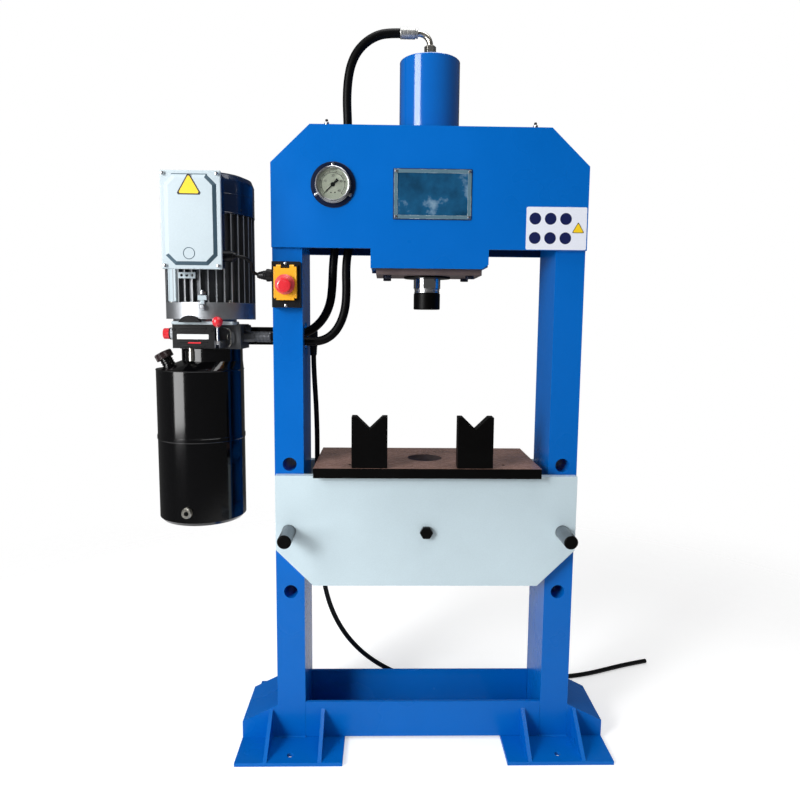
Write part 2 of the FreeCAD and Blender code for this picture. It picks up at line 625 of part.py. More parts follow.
def piston():
    """The piston, screwed on the rod by its hexagonal end, and the seal in its groove."""
    inside = "spigot_dia / 2 + 0.05"
    outside = "(barrel_bore / 2 - bore_fit)"
    groove = f"{outside} - seal_depth"
    low = "piston_bottom + (piston_height - seal_height) / 2"
    high = f"{low} + seal_height"
    ring = turned([(inside, "piston_bottom"), (outside, "piston_bottom"), (outside, low), (groove, low),
                   (groove, high), (outside, high), (outside, "piston_top"), (inside, "piston_top")])
    nut = cut(hexagon("piston_nut_flats", "piston_nut_height", z="piston_top"),
              rod("spigot_dia + 0.1", "piston_nut_height + 2", z="piston_top - 1"))
    node(fuse(ring, nut), "piston")
    node(turned([(groove, low), (outside, low), (outside, high), (groove, high)]), "piston_seal")


def hex_bolts():
    """Four bolts that hold the cylinder to its seat and two that hold the pump to its bracket."""
    solids = []
    under = "mount_bottom - bolt_head"
    heads = [hexagon("bolt_flats", "bolt_head", f"{across} * bolt_x", f"{back} * bolt_y", under)
             for across in ("-1", "1") for back in ("-1", "1")]
    shanks = flange_bolt_rods("bolt_dia", "bolt_head + mount_thick + seat_thick", under)
    solids += [fuse(head, shank) for head, shank in zip(heads, shanks)]
    for x, z in bracket_bolt_places():
        behind = "block_back + bracket_thick + bolt_head"
        solids.append(fuse(hexagon("bolt_flats", "bolt_head", x, behind, z, "-y"),
                           rod("bolt_dia", "bolt_head + bracket_thick + 25", x, behind, z, "-y")))
    node(group(*solids), "hex_bolts")


def cylinder():
    barrel()
    gland()
    ram()
    piston()
    hex_bolts()


# Hoses, pipes and cables: straight runs joined by tangent arcs

FERRULE_START = "(pipe_bend + 2)"
BOSS_END = "(barrel_dia / 2 + boss_length)"
LOWER_NUT = 16
ELBOW_BEND = 25
LINE_YS = ("front_line_y", "back_line_y")

TOP_HOSE = [(-78, 0, 1892), (-108, 0, 1892), (-140, 0, 1885), (-172, 0, 1865), (-196, 0, 1835),
            (-210, 0, 1795), (-216, 0, 1735), (-213, 0, 1665), (-212, 0, 1590), (-220, -1, 1515),
            (-232, -2, 1440), (-244, -3, 1370), (-252, -4, 1305), (-254, -4, 1245), (-259, -5, 1200),
            (-276, -5, 1160), (-306, -5, 1129), (-344, -5, 1113), (-380, -5, 1109), (-412, -5, 1109)]
LOWER_HOSE = [(-166.2, 0, 1408.15), (-186.2, 0, 1388.15), (-203, -4, 1362), (-214, -9, 1330),
              (-217, -16, 1285), (-215, -24, 1235), (-217, -31, 1190), (-227, -37, 1152),
              (-247, -42, 1119), (-276, -44, 1100), (-312, -45, 1097), (-348, -45, 1102),
              (-381, -45, 1109), (-412, -45, 1109)]
MOTOR_CABLE = [(-475, -162, 1306), (-463, -162, 1306), (-452, -158, 1302.5), (-444.5, -151, 1296),
               (-441.5, -142, 1288), (-444.5, -133, 1279.5), (-442, -124, 1272), (-434.5, -117, 1267),
               (-424, -113, 1265), (-412, -113, 1265)]
POWER_CORD = [(-311, 48, 1090), (-311, 48, 1045), (-309, 51, 990), (-305, 55, 915), (-303, 60, 830),
              (-304, 65, 745), (-304, 70, 655), (-302, 74, 560), (-297, 79, 465), (-287, 87, 375),
              (-267, 100, 292), (-232, 117, 214), (-184, 135, 147), (-130, 154, 95), (-74, 172, 55),
              (-18, 189, 25), (38, 204, 9), (102, 213, 7.3), (176, 219.5, 7), (258, 222, 7), (346, 222.5, 7),
              (430, 224, 7), (506, 233, 7), (578, 254, 7), (650, 284, 7), (718, 311, 7), (785, 332, 7)]


def route(points):
    """A wire through the points: straight runs and one tangent arc at each inner point."""
    points = [Vector(*point) for point in points]
    edges = []
    radii = []
    start = points[0]
    for before, corner, after in zip(points, points[1:], points[2:]):
        back = (before - corner).normalize()
        on = (after - corner).normalize()
        turn = math.pi - back.getAngle(on)
        reach = 0.45 * min((before - corner).Length, (after - corner).Length)
        radii.append(reach / math.tan(turn / 2))
        middle = (back + on).normalize() * (math.hypot(reach, radii[-1]) - radii[-1])
        first = corner + back * reach
        last = corner + on * reach
        edges.append(Part.LineSegment(start, first).toShape())
        edges.append(Part.Arc(first, corner + middle, last).toShape())
        start = last
    edges.append(Part.LineSegment(start, points[-1]).toShape())
    return Part.Wire(edges), radii


def tube(points, diameter, label):
    """A round cord along a route, with its tightest bend and its volume checked in print."""
    wire, radii = route(points)
    direction = Vector(*points[1]) - Vector(*points[0])
    disc = Part.Wire(Part.Circle(Vector(*points[0]), direction, value[diameter] / 2).toShape())
    solid = wire.makePipeShell([disc], True, False)
    thing = doc.addObject("Part::Feature", unique("Tube"))
    thing.Shape = solid
    section = math.pi * value[diameter] ** 2 / 4
    print(label, "length", round(wire.Length), "radii in diameters",
          [round(radius / value[diameter], 1) for radius in radii])
    print(label, "volume over section times length", round(solid.Volume / section / wire.Length, 4))
    return node(thing, label)


def bent_pipe(diameter, bend, sweep, turn, x, z):
    """A quarter or eighth bend of pipe in the plane of the ram axis."""
    thing = doc.addObject("Part::Torus", unique("Bend"))
    thing.Angle3 = sweep
    bind(thing, Radius1=bend, Radius2=f"({diameter}) / 2")
    return place(thing, x, "0", z, turn)


def top_port_elbow():
    """The pipe that turns from the top of the cylinder to the hose."""
    bend_z = "pipe_z - pipe_bend"
    upright = rod("pipe_dia", f"{bend_z} - barrel_top", z="barrel_top")
    corner = bent_pipe("pipe_dia", "pipe_bend", 90, TURNS["-y"], "-pipe_bend", bend_z)
    level = rod("pipe_dia", f"{FERRULE_START} - pipe_bend", "-pipe_bend", z="pipe_z", along="-x")
    return fuse(upright, corner, level)


def lower_port_elbow():
    """The pipe that turns half a corner down from the lower port."""
    start = f"-({BOSS_END} + {LOWER_NUT} + 4)"
    level = rod("pipe_dia", f"{LOWER_NUT} + 4", f"-{BOSS_END}", z="lower_port_z", along="-x")
    quarter = FreeCAD.Rotation(ABOUT_X, 90).multiply(FreeCAD.Rotation(Vector(0, 0, 1), 90))
    corner = bent_pipe("pipe_dia", ELBOW_BEND, 45, quarter, start, f"lower_port_z - {ELBOW_BEND}")
    return fuse(level, corner)


def hose_fittings():
    """The bent pipes at the cylinder and the nuts at both ends of both hoses."""
    solids = [top_port_elbow(), lower_port_elbow(),
              cut(hexagon("top_nut_flats", "top_nut_height", z="barrel_top"),
                  rod("pipe_dia", "top_nut_height + 2", z="barrel_top - 1")),
              cut(hexagon("top_nut_flats", LOWER_NUT, f"-{BOSS_END}", z="lower_port_z", along="-x"),
                  rod("pipe_dia", f"{LOWER_NUT} + 2", f"-({BOSS_END} - 1)", z="lower_port_z", along="-x"))]
    for y in LINE_YS:
        solids.append(hexagon("line_nut_flats", "line_nut_length", "block_right", y, "line_z", "x"))
    node(group(*solids), "hose_fittings")


def hose_ferrules():
    """The crimped ferrules on the hose ends."""
    slope = FreeCAD.Rotation(ABOUT_Y, -135)
    half_corner = "cos(45)"
    x = f"-({BOSS_END} + {LOWER_NUT} + 4 + {ELBOW_BEND} * {half_corner})"
    z = f"lower_port_z - {ELBOW_BEND} * (1 - {half_corner})"
    solids = [rod("ferrule_dia", "ferrule_length", f"-{FERRULE_START}", z="pipe_z", along="-x"),
              place(rod("ferrule_dia", "ferrule_length"), x, "0", z, slope)]
    for y in LINE_YS:
        solids.append(rod("ferrule_dia", "ferrule_length - 1", "block_right + line_nut_length", y,
                          "line_z", "x"))
    node(group(*solids), "hose_ferrules")


def hoses():
    hose_fittings()
    hose_ferrules()
    tube(TOP_HOSE, "hose_dia", "top_hose")
    tube(LOWER_HOSE, "hose_dia", "lower_hose")
    tube(MOTOR_CABLE, "motor_cable_dia", "motor_cable")
    tube(POWER_CORD, "power_cord_dia", "power_cord")


# The pressure gauge and the name plate

CROWN_FACE = "-(column_depth / 2 + crown_plate_thick)"


def gauge_part(points, label):
    """A turned piece on the gauge axis; its heights are measured out from the crown face."""
    return node(place(turned(points), "gauge_x", CROWN_FACE, "gauge_z", TURNS["-y"]), label)


def gauge():
    case = "gauge_case_dia / 2"
    flange = "gauge_flange_dia / 2"
    bezel = "gauge_bezel_dia / 2"
    window = "(gauge_bezel_dia / 2 - gauge_wall)"
    dial_face = "(gauge_front - dial_depth)"
    inside = "(gauge_case_dia / 2 - gauge_wall)"
    stem_hole = "gauge_stem / 2"
    profile = [(stem_hole, "-gauge_back"), (case, "-gauge_back"), (case, "0"), (flange, "0"),
               (flange, "gauge_flange_thick"), (bezel, "gauge_flange_thick"), (bezel, "gauge_front - 1"),
               (f"{bezel} - 1", "gauge_front"), (window, "gauge_front"),
               (window, f"{dial_face} - dial_thick"), (inside, f"{dial_face} - dial_thick"),
               (inside, "-(gauge_back - gauge_wall)"), (stem_hole, "-(gauge_back - gauge_wall)")]
    case_body = place(turned(profile), "gauge_x", CROWN_FACE, "gauge_z", TURNS["-y"])
    holes = [rod("screw_dia + 0.2", "gauge_flange_thick + 2", x, f"{CROWN_FACE} + 1", z, "-y")
             for x, z in gauge_screw_places()]
    arbor = "pointer_pin / 2 + pointer_fit"
    under_dial = f"{dial_face} - dial_thick"
    movement = turned([("0", "-(gauge_back + 18)"), (stem_hole, "-(gauge_back + 18)"),
                       (stem_hole, f"{under_dial} - 3"), (arbor, f"{under_dial} - 3"),
                       (arbor, f"{under_dial} - 15"), ("0", f"{under_dial} - 15")])
    movement = place(movement, "gauge_x", CROWN_FACE, "gauge_z", TURNS["-y"])
    node(fuse(cut(case_body, *holes), movement), "gauge_case")
    gauge_part([(arbor, f"{dial_face} - dial_thick"), (f"{window} - 0.2", f"{dial_face} - dial_thick"),
                (f"{window} - 0.2", dial_face), (arbor, dial_face)], "gauge_dial")
    glass_back = "(gauge_front - glass_thick - 1)"
    gauge_part([("0", glass_back), (f"{window} - 0.1", glass_back), (f"{window} - 0.1", "gauge_front - 1"),
                ("0", "gauge_front - 1")], "gauge_glass")
    pointer()


def pointer():
    """The pointer on its pin, at the zero of the dial, low on the left."""
    zero = math.radians(225)
    across = (math.cos(zero), math.sin(zero))
    side = (-across[1], across[0])
    corners = [("pointer_length", "0.6"), ("pointer_length", "-0.6"), ("0", "-1.6"), ("-pointer_tail", "-4"),
               ("-pointer_tail", "4"), ("0", "1.6")]
    outline = [tuple(f"({along}) * {across[axis]} + ({off}) * {side[axis]}" for axis in (0, 1))
               for along, off in corners]
    level = "(gauge_front - dial_depth + 1)"
    needle = place(plate("XZ_Plane", outline, "pointer_thick"), "gauge_x", f"{CROWN_FACE} - {level}",
                   "gauge_z")
    pin = rod("pointer_pin", f"{level} + pointer_thick + dial_thick + 13.5 - gauge_front + dial_depth",
              "gauge_x", f"{CROWN_FACE} - gauge_front + dial_depth + dial_thick + 13.5", "gauge_z", "-y")
    node(fuse(needle, pin), "gauge_pointer")


def name_plate():
    """A blank plate with a raised border, held by four rivets."""
    left = "panel_x - panel_width / 2"
    low = "panel_z - panel_height / 2"
    front = f"{CROWN_FACE} - panel_thick"
    whole = box(left, front, low, "panel_width", "panel_thick", "panel_height")
    field = box(f"{left} + panel_border", f"{front} - 1", f"{low} + panel_border",
                "panel_width - 2 * panel_border", "2.5", "panel_height - 2 * panel_border")
    holes = [rod("screw_dia + 0.2", "panel_thick + 2", x, f"{CROWN_FACE} + 1", z, "-y")
             for x, z in rivet_places()]
    node(cut(whole, field, *holes), "name_plate")


def panel_screws():
    """Round-headed screws of the gauge, the name plate, the switch box and the terminal lid."""
    solids = []
    for places, thick in ((gauge_screw_places(), "gauge_flange_thick"), (rivet_places(), "panel_thick")):
        for x, z in places:
            solids.append(screw(x, f"{CROWN_FACE} - {thick}", z, f"{thick} + crown_plate_thick - 1"))
    for x, z in switch_screw_places():
        solids.append(screw(x, SWITCH_FACE, z, "switch_depth + flange_thick - 1"))
    for x, z in lid_screw_places():
        solids.append(screw(x, LID_FACE, z, "box_lid_thick"))
    node(group(*solids), "panel_screws")


def screw(x, y, z, length):
    head = cone("screw_head_dia", "screw_head_dia - 3", "screw_head", x, y, z, "-y")
    return fuse(head, rod("screw_dia", length, x, y, z, "y"))


# The switch on the left column

SWITCH_FACE = "-(column_depth / 2 + switch_depth)"
LID_BACK = "(column_depth / 2 + switch_depth + 0.4)"
LID_Z = "(switch_z + lid_rise)"
PIVOT_Y = "-(column_depth / 2 + switch_depth + lid_depth / 2)"
PIVOT_Z = "(switch_z + lid_rise + lid_height / 2 - lid_depth / 2)"
STOP_Z = "(switch_z + lid_rise - stop_drop)"


def switch_screw_places():
    return [("switch_x", f"switch_z + {up} * (switch_height / 2 - 5)") for up in ("-1", "1")]


def switch_box():
    """A box with two button holes, screw tunnels and two ears with the riveted pin of its lid."""
    left = "switch_x - switch_width / 2"
    body = box(left, SWITCH_FACE, "switch_z - switch_height / 2", "switch_width", "switch_depth",
               "switch_height")
    room = box(f"{left} + 3", f"{SWITCH_FACE} + 3", "switch_z - switch_height / 2 + 13", "switch_width - 6",
               "switch_depth", "switch_height - 26")
    holes = [rod("key_dia + 2 * key_fit", "6", "switch_x", f"{SWITCH_FACE} - 1",
                 f"switch_z + {up} * key_spread / 2", "y") for up in ("-1", "1")]
    holes += [rod("screw_dia + 0.2", "switch_depth + 2", x, f"{SWITCH_FACE} - 1", z, "y")
              for x, z in switch_screw_places()]
    holes.append(rod("entry_dia - 8", "8", f"{left} - 1", "entry_y", "entry_z", "x"))
    ears = [box(f"switch_x + {side} * (lid_width / 2 + 2) - 1.5", f"{SWITCH_FACE} - lid_depth + 2",
                f"{PIVOT_Z} - 5", "3", "lid_depth", "10") for side in ("-1", "1")]
    pin = rod("lid_pin_dia", "lid_width + 7", "switch_x - lid_width / 2 - 3.5", PIVOT_Y, PIVOT_Z, "x")
    node(fuse(cut(fuse(cut(body, room), *ears), *holes), pin), "switch_box")


def switch_lid():
    """The hinged cover, with a knuckle about its pin and a hole for the stop button."""
    left = "switch_x - lid_width / 2"
    bottom = f"{LID_Z} - lid_height / 2"
    front = f"-({LID_BACK} + lid_depth)"
    shell = box(left, front, bottom, "lid_width", "lid_depth", f"{PIVOT_Z} - ({bottom})")
    room = box(f"{left} + lid_wall", f"{front} + lid_wall", f"{bottom} + lid_wall",
               "lid_width - 2 * lid_wall", "lid_depth",
               f"{PIVOT_Z} - ({bottom}) - lid_wall - lid_depth / 2 - 2")
    knuckle = rod("lid_depth - 0.8", "lid_width", left, PIVOT_Y, PIVOT_Z, "x")
    stem_hole = rod("stop_stem + 0.6", "lid_depth", "switch_x", f"{front} - 1", STOP_Z, "y")
    pin_hole = rod("lid_pin_dia + 0.1", "lid_width + 2", f"{left} - 1", PIVOT_Y, PIVOT_Z, "x")
    node(cut(fuse(shell, knuckle), room, stem_hole, pin_hole), "switch_lid")


def buttons():
    """The mushroom stop button on the lid and the start and stop keys behind it."""
    gap = "stop_travel + 0.5"
    collar = f"{gap} + stop_collar"
    head = f"{collar} + stop_head"
    inside = "-(lid_wall + 1)"
    profile = [("0", inside), ("stop_stem / 2 + 1.5", inside), ("stop_stem / 2 + 1.5", "-(lid_wall + 0.2)"),
               ("stop_stem / 2", "-(lid_wall + 0.2)"), ("stop_stem / 2", gap), ("stop_collar_dia / 2", gap),
               ("stop_collar_dia / 2", f"{gap} + 2"), ("stop_dia / 2 - 2", collar),
               ("stop_dia / 2", f"{collar} + 2"),
               ("stop_dia / 2", f"{head} - 2"), ("stop_dia / 2 - 2", head), ("0", head)]
    node(place(turned(profile), "switch_x", f"-({LID_BACK} + lid_depth)", STOP_Z, TURNS["-y"]),
         "emergency_button")
    for up, label in (("-1", "stop_button"), ("1", "start_button")):
        z = f"switch_z + {up} * key_spread / 2"
        cap = rod("key_dia", "key_height + 3.5", "switch_x", f"{SWITCH_FACE} + 3.5", z, "-y")
        rim = rod("key_dia + 4", "2", "switch_x", f"{SWITCH_FACE} + 5.3", z, "-y")
        node(fuse(cap, rim), label)


def cable_glands():
    """The screwed glands of the switch box and the terminal box, and the cord's elbow on the web."""
    left = "switch_x - switch_width / 2"
    switch_end = fuse(rod("entry_dia", "entry_length - 7", left, "entry_y", "entry_z", "-x"),
                      cone("entry_dia - 4", "entry_dia - 14", "7", f"{left} - entry_length + 7", "entry_y",
                           "entry_z", "-x"))
    box_side = "motor_x + box_width / 2"
    box_end = fuse(rod("box_gland_dia", "box_gland_length - 6", box_side, "box_gland_y", "box_gland_z", "x"),
                   cone("box_gland_dia - 3", "box_gland_dia - 10", "6",
                        f"{box_side} + box_gland_length - 6", "box_gland_y", "box_gland_z", "x"))
    stub = rod("cord_gland_dia - 4.2", f"cord_gland_x + {HALF_CLEAR} + web_thick",
               f"-({HALF_CLEAR} + web_thick)", "cord_gland_y",
               "cord_gland_z + cord_gland_length - cord_gland_dia / 2", "x")
    drop = rod("cord_gland_dia", "cord_gland_length", "cord_gland_x", "cord_gland_y", "cord_gland_z")
    node(group(switch_end, box_end, fuse(stub, drop)), "cable_glands")


# The power unit

SHIELD_TOP = "(motor_bottom + shield_height)"
BOX_FRONT = "(unit_y - box_back - box_depth)"
LID_FACE = "(unit_y - box_back - box_depth - box_lid_thick)"
MOTOR_AXIS = ("motor_x", "unit_y")


def on_motor_axis(points, label):
    """A turned piece on the motor's axis, its heights measured from the floor."""
    return node(place(turned(points), *MOTOR_AXIS), label)


def motor():
    """The finned housing with its laminated core, and the rotor on its shaft."""
    stator_height = f"stator_top - {SHIELD_TOP}"
    root = rod("fin_root_dia", stator_height, *MOTOR_AXIS, SHIELD_TOP)
    fins = []
    for count in range(int(value["fin_count"])):
        fin = box("0", "0", SHIELD_TOP, "motor_dia / 2", "fin_thick", stator_height)
        turn = FreeCAD.Rotation(Vector(0, 0, 1), 360 * count / value["fin_count"])
        fins.append(place(fin, *MOTOR_AXIS, SHIELD_TOP, turn))
    pad = box("motor_x - box_width / 2 + 12", "unit_y - box_back", "box_middle - box_height / 2 + 8",
              "box_width - 24", "box_back - fin_root_dia / 2 + 8",
              "stator_top - box_middle + box_height / 2 - 8")
    stack_low = f"({SHIELD_TOP} + 24)"
    stack_high = "(stator_top - 30)"
    gap = "stack_dia / 2 + 0.6"
    bore = "stator_bore / 2"
    room = turned([("0", f"{SHIELD_TOP} - 1"), (bore, f"{SHIELD_TOP} - 1"), (bore, stack_low),
                   (gap, stack_low), (gap, stack_high), (bore, stack_high), (bore, "stator_top + 1"),
                   ("0", "stator_top + 1")])
    node(cut(fuse(root, pad, *fins), place(room, *MOTOR_AXIS)), "motor_housing")
    shaft = "shaft_dia / 2"
    on_motor_axis([("0", "neck_bottom - 6"), (shaft, "neck_bottom - 6"), (shaft, stack_low),
                   ("stack_dia / 2", stack_low), ("stack_dia / 2", stack_high), (shaft, stack_high),
                   (shaft, "cowl_top - 16"), ("0", "cowl_top - 16")], "motor_rotor")


def motor_end_shields():
    """The cast shields with the bearings of the shaft; the lower one carries the adapter flange."""
    bearing = "shaft_dia / 2 + shaft_fit"
    rim = "motor_dia / 2"
    lower = turned([(bearing, "motor_bottom"), (rim, "motor_bottom"), (rim, SHIELD_TOP),
                    ("stator_bore / 2", SHIELD_TOP), ("stator_bore / 2", "motor_bottom + 12"),
                    ("30", "motor_bottom + 12"), ("30", f"{SHIELD_TOP} - 6"),
                    (bearing, f"{SHIELD_TOP} - 6")])
    under = "motor_bottom - adapter_thick"
    adapter = cut(rod("adapter_dia", "adapter_thick", "adapter_x", "unit_y", under),
                  rod("shaft_dia + 16", "adapter_thick + 2", *MOTOR_AXIS, f"{under} - 1"))
    upper = turned([(bearing, "stator_top - 18"), ("30", "stator_top - 18"), ("30", "stator_top"),
                    ("fin_root_dia / 2", "stator_top"), ("fin_root_dia / 2", "stator_top + 10"),
                    (bearing, "stator_top + 10")])
    node(group(fuse(place(lower, *MOTOR_AXIS), adapter), place(upper, *MOTOR_AXIS)), "motor_end_shields")


def cooling_fan():
    """A hub and disc with straight blades, on the top end of the shaft."""
    low = "stator_top + 22"
    blades = []
    for count in range(int(value["fan_blades"])):
        blade = box("0", "0", low, "fan_dia / 2", "3", "fan_height")
        turn = FreeCAD.Rotation(Vector(0, 0, 1), 360 * count / value["fan_blades"])
        blades.append(place(blade, *MOTOR_AXIS, low, turn))
    hub = rod("54", "fan_height", *MOTOR_AXIS, low)
    disc = rod("fan_dia", "3", *MOTOR_AXIS, low)
    node(cut(fuse(hub, disc, *blades), rod("shaft_dia", "fan_height + 2", *MOTOR_AXIS, f"{low} - 1")),
         "cooling_fan")


def fan_cowl():
    """The sheet cover of the fan, with a rounded shoulder and air slots in its top."""
    outer = "motor_dia / 2 + 1"
    inner = f"{outer} - cowl_wall"
    shell = turned([(inner, "stator_top"), (outer, "stator_top"), (outer, "cowl_top - cowl_round"),
                    (f"{outer} - 0.29 * cowl_round", "cowl_top - 0.29 * cowl_round"),
                    (f"{outer} - cowl_round", "cowl_top"), ("0", "cowl_top"), ("0", "cowl_top - cowl_wall"),
                    (f"{inner} - cowl_round", "cowl_top - cowl_wall"),
                    (f"{inner} - 0.29 * cowl_round", "cowl_top - cowl_wall - 0.29 * cowl_round"),
                    (inner, "cowl_top - cowl_wall - cowl_round")])
    shell = place(shell, *MOTOR_AXIS)
    slots = []
    for count in range(18):
        slot = box("0", "0", "cowl_top - 6", "46", "7", "12")
        turn = FreeCAD.Rotation(Vector(0, 0, 1), 20 * count)
        reach = (f"motor_x + 38 * cos({20 * count})", f"unit_y + 38 * sin({20 * count})")
        slots.append(place(slot, *reach, "cowl_top - 6", turn))
    node(cut(shell, *slots), "fan_cowl")


def lid_screw_places():
    return [(f"motor_x + {side} * (box_lid_width / 2 - 8)", f"box_middle + {up} * (box_lid_height / 2 - 8)")
            for side in ("-1", "1") for up in ("-1", "1")]


def terminal_box():
    """The connection box on the front of the motor and its raised lid with cut corners."""
    left = "motor_x - box_width / 2"
    bottom = "box_middle - box_height / 2"
    body = box(left, BOX_FRONT, bottom, "box_width", "box_depth", "box_height")
    room = box(f"{left} + box_wall", f"{BOX_FRONT} - 1", f"{bottom} + box_wall",
               "box_width - 2 * box_wall", "box_depth - box_wall + 1", "box_height - 2 * box_wall")
    entry = rod("box_gland_dia - 8", "box_wall + 2", "motor_x + box_width / 2 - box_wall - 1", "box_gland_y",
                "box_gland_z", "x")
    node(cut(body, room, entry), "terminal_box")
    cover = box("motor_x - box_lid_width / 2", LID_FACE, "box_middle - box_lid_height / 2", "box_lid_width",
                "box_lid_thick", "box_lid_height")
    half = "(box_lid_width / 2 - 10)"
    tall = "(box_lid_height / 2 - 10)"
    corner = 22
    inset = [(half, f"-{tall} + {corner}"), (half, f"{tall} - {corner}"), (f"{half} - {corner}", tall),
             (f"-({half} - {corner})", tall), (f"-{half}", f"{tall} - {corner}"),
             (f"-{half}", f"-{tall} + {corner}"),
             (f"-({half} - {corner})", f"-{tall}"), (f"{half} - {corner}", f"-{tall}")]
    groove = cut(place(plate("XZ_Plane", inset, "6"), "motor_x", f"{LID_FACE} + 3", "box_middle"),
                 place(plate("XZ_Plane", [(f"({x}) * 0.94", f"({z}) * 0.965") for x, z in inset], "8"),
                       "motor_x", f"{LID_FACE} + 4", "box_middle"))
    holes = [rod("screw_dia + 0.2", "box_lid_thick + 2", x, f"{LID_FACE} - 1", z, "y")
             for x, z in lid_screw_places()]
    node(cut(cover, groove, *holes), "terminal_lid")


def bracket_bolt_places():
    return [(x, "bracket_bottom + bracket_height / 2") for x in ("block_right - 20", "block_right - 60")]


def bracket():
    """The bar that carries the power unit, welded to the back of the web between the flanges."""
    left = "block_right - 76"
    right = f"-({HALF_CLEAR} + web_thick)"
    bar = box(left, "block_back", "bracket_bottom", f"{right} - ({left})", "bracket_thick", "bracket_height")
    holes = [rod("bolt_dia + 1", "bracket_thick + 2", x, "block_back - 1", z, "y")
             for x, z in bracket_bolt_places()]
    node(cut(bar, *holes), "power_unit_bracket")


def manifold():
    """The block that joins motor, pump and tank, with two hose ports and the relief valve on its right."""
    block = box("block_left", "block_front", "neck_top", "block_right - block_left",
                "block_back - block_front", "motor_bottom - adapter_thick - neck_top")
    neck = rod("neck_dia", "neck_top - neck_bottom", *MOTOR_AXIS, "neck_bottom")
    shaft_hole = rod("shaft_dia + 16", "motor_bottom - neck_bottom", *MOTOR_AXIS, "neck_bottom - 1")
    ports = [rod("port_dia", "30", "block_right - 29", y, "line_z", "x") for y in LINE_YS]
    taps = [rod("bolt_dia + 0.2", "27", x, "block_back - 26", z, "y") for x, z in bracket_bolt_places()]
    ears = [box(x, "lever_y - 6", "lever_bottom - 6", "3", "block_front - lever_y + 6", "17")
            for x in ("lever_x - 7", "lever_x + 4")]
    pivot = rod("4.1", "20", "lever_x - 9", "lever_y", "lever_bottom + 5", "x")
    relief = [hexagon("relief_flats", "14", "block_right", "relief_y", "relief_z", "x"),
              rod("relief_flats - 4", "26", "block_right - 12", "relief_y", "relief_z", "x")]
    body = cut(fuse(block, neck), shaft_hole, *ports, *taps)
    node(fuse(body, cut(fuse(*ears), pivot), *relief), "pump_manifold")


def pump():
    """The gear pump under the block, with its suction pipe and strainer in the oil."""
    body = box("motor_x - pump_width / 2", "unit_y - pump_depth / 2", "neck_bottom - pump_height",
               "pump_width", "pump_depth", "pump_height")
    socket = rod("shaft_dia + 2", "12", *MOTOR_AXIS, "neck_bottom - 10")
    start = "neck_bottom - pump_height - suction_length"
    pipe = rod("suction_dia", "suction_length", "motor_x", "unit_y", start)
    strainer = rod("3 * suction_dia", "60", "motor_x", "unit_y", f"{start} - 30")
    node(fuse(cut(body, socket), pipe, strainer), "gear_pump")


def shoulder(tank, neck, low, high):
    """A loft from a circle on the tank's axis to a smaller one on the motor's axis."""
    ring = doc.addObject("Part::Circle", unique("Ring"))
    bind(ring, Radius=tank)
    place(ring, "tank_x", "unit_y", low)
    top = doc.addObject("Part::Circle", unique("Ring"))
    bind(top, Radius=neck)
    place(top, *MOTOR_AXIS, high)
    loft = doc.addObject("Part::Loft", unique("Loft"))
    loft.Sections = [ring, top]
    loft.Solid = True
    loft.Ruled = True
    return loft


FILLER_ROOT = ("filler_x + filler_root * sin(filler_tilt)", "filler_y",
               "filler_z - filler_root * cos(filler_tilt)")


def oil_tank():
    """A welded sheet tank with a sloping shoulder, a filler neck and a drain boss."""
    radius = "tank_dia / 2"
    inside = "(tank_dia / 2 - tank_wall)"
    bottom = "tank_bottom"
    outer = turned([("0", bottom), (f"{radius} - tank_round", bottom), (radius, f"{bottom} + tank_round"),
                    (radius, "seam_z - 6"), (f"{radius} + 1.5", "seam_z - 4"),
                    (f"{radius} + 1.5", "seam_z + 4"), (radius, "seam_z + 6"), (radius, "tank_top"),
                    ("0", "tank_top")])
    room = turned([("0", f"{bottom} + tank_wall"), (f"{radius} - tank_round", f"{bottom} + tank_wall"),
                   (inside, f"{bottom} + tank_round"), (inside, "tank_top"), ("0", "tank_top")])
    cover = shoulder(radius, "neck_dia / 2", "tank_top", "neck_bottom")
    under = shoulder(inside, "neck_dia / 2 - tank_wall", "tank_top", "neck_bottom - tank_wall")
    mouth = rod("tank_hole_dia", "30", *MOTOR_AXIS, "neck_bottom - 15")
    tilt = FreeCAD.Rotation(ABOUT_Y, -value["filler_tilt"])
    filler = place(rod("filler_dia", "filler_length + filler_root"), *FILLER_ROOT, tilt)
    filler_bore = place(rod("filler_dia - 6", "filler_length + filler_root + 12"), *FILLER_ROOT, tilt)
    drain = rod("drain_flats + 4", "20", "drain_x", f"unit_y - {radius} + 16", "drain_z", "-y")
    drain_hole = rod("drain_thread", "30", "drain_x", f"unit_y - {radius} + 24", "drain_z", "-y")
    walls = cut(fuse(place(outer, "tank_x", "unit_y"), cover, filler, drain),
                place(room, "tank_x", "unit_y"), under, mouth)
    node(cut(walls, filler_bore, drain_hole), "oil_tank")
    drain_face = f"unit_y - {radius} - 4"
    node(fuse(hexagon("drain_flats", "8", "drain_x", drain_face, "drain_z", "-y"),
              rod("drain_thread", "16", "drain_x", drain_face, "drain_z", "y")), "drain_plug")


def filler_cap():
    """The knurled cap of the filler, turned about the neck's tilted axis."""
    inside = "filler_dia / 2 - 3.3"
    rim = "cap_dia / 2"
    low = "filler_length + 0.3"
    high = f"{low} + cap_height"
    profile = [("0", f"{low} - 10"), (inside, f"{low} - 10"), (inside, low), (f"{rim} - 2", low),
               (rim, f"{low} + 2"),
               (rim, f"{high} - 4"), (f"{rim} - 4", high), ("0", high)]
    tilt = FreeCAD.Rotation(ABOUT_Y, -value["filler_tilt"])
    node(place(turned(profile), "filler_x", "filler_y", "filler_z", tilt), "filler_cap")


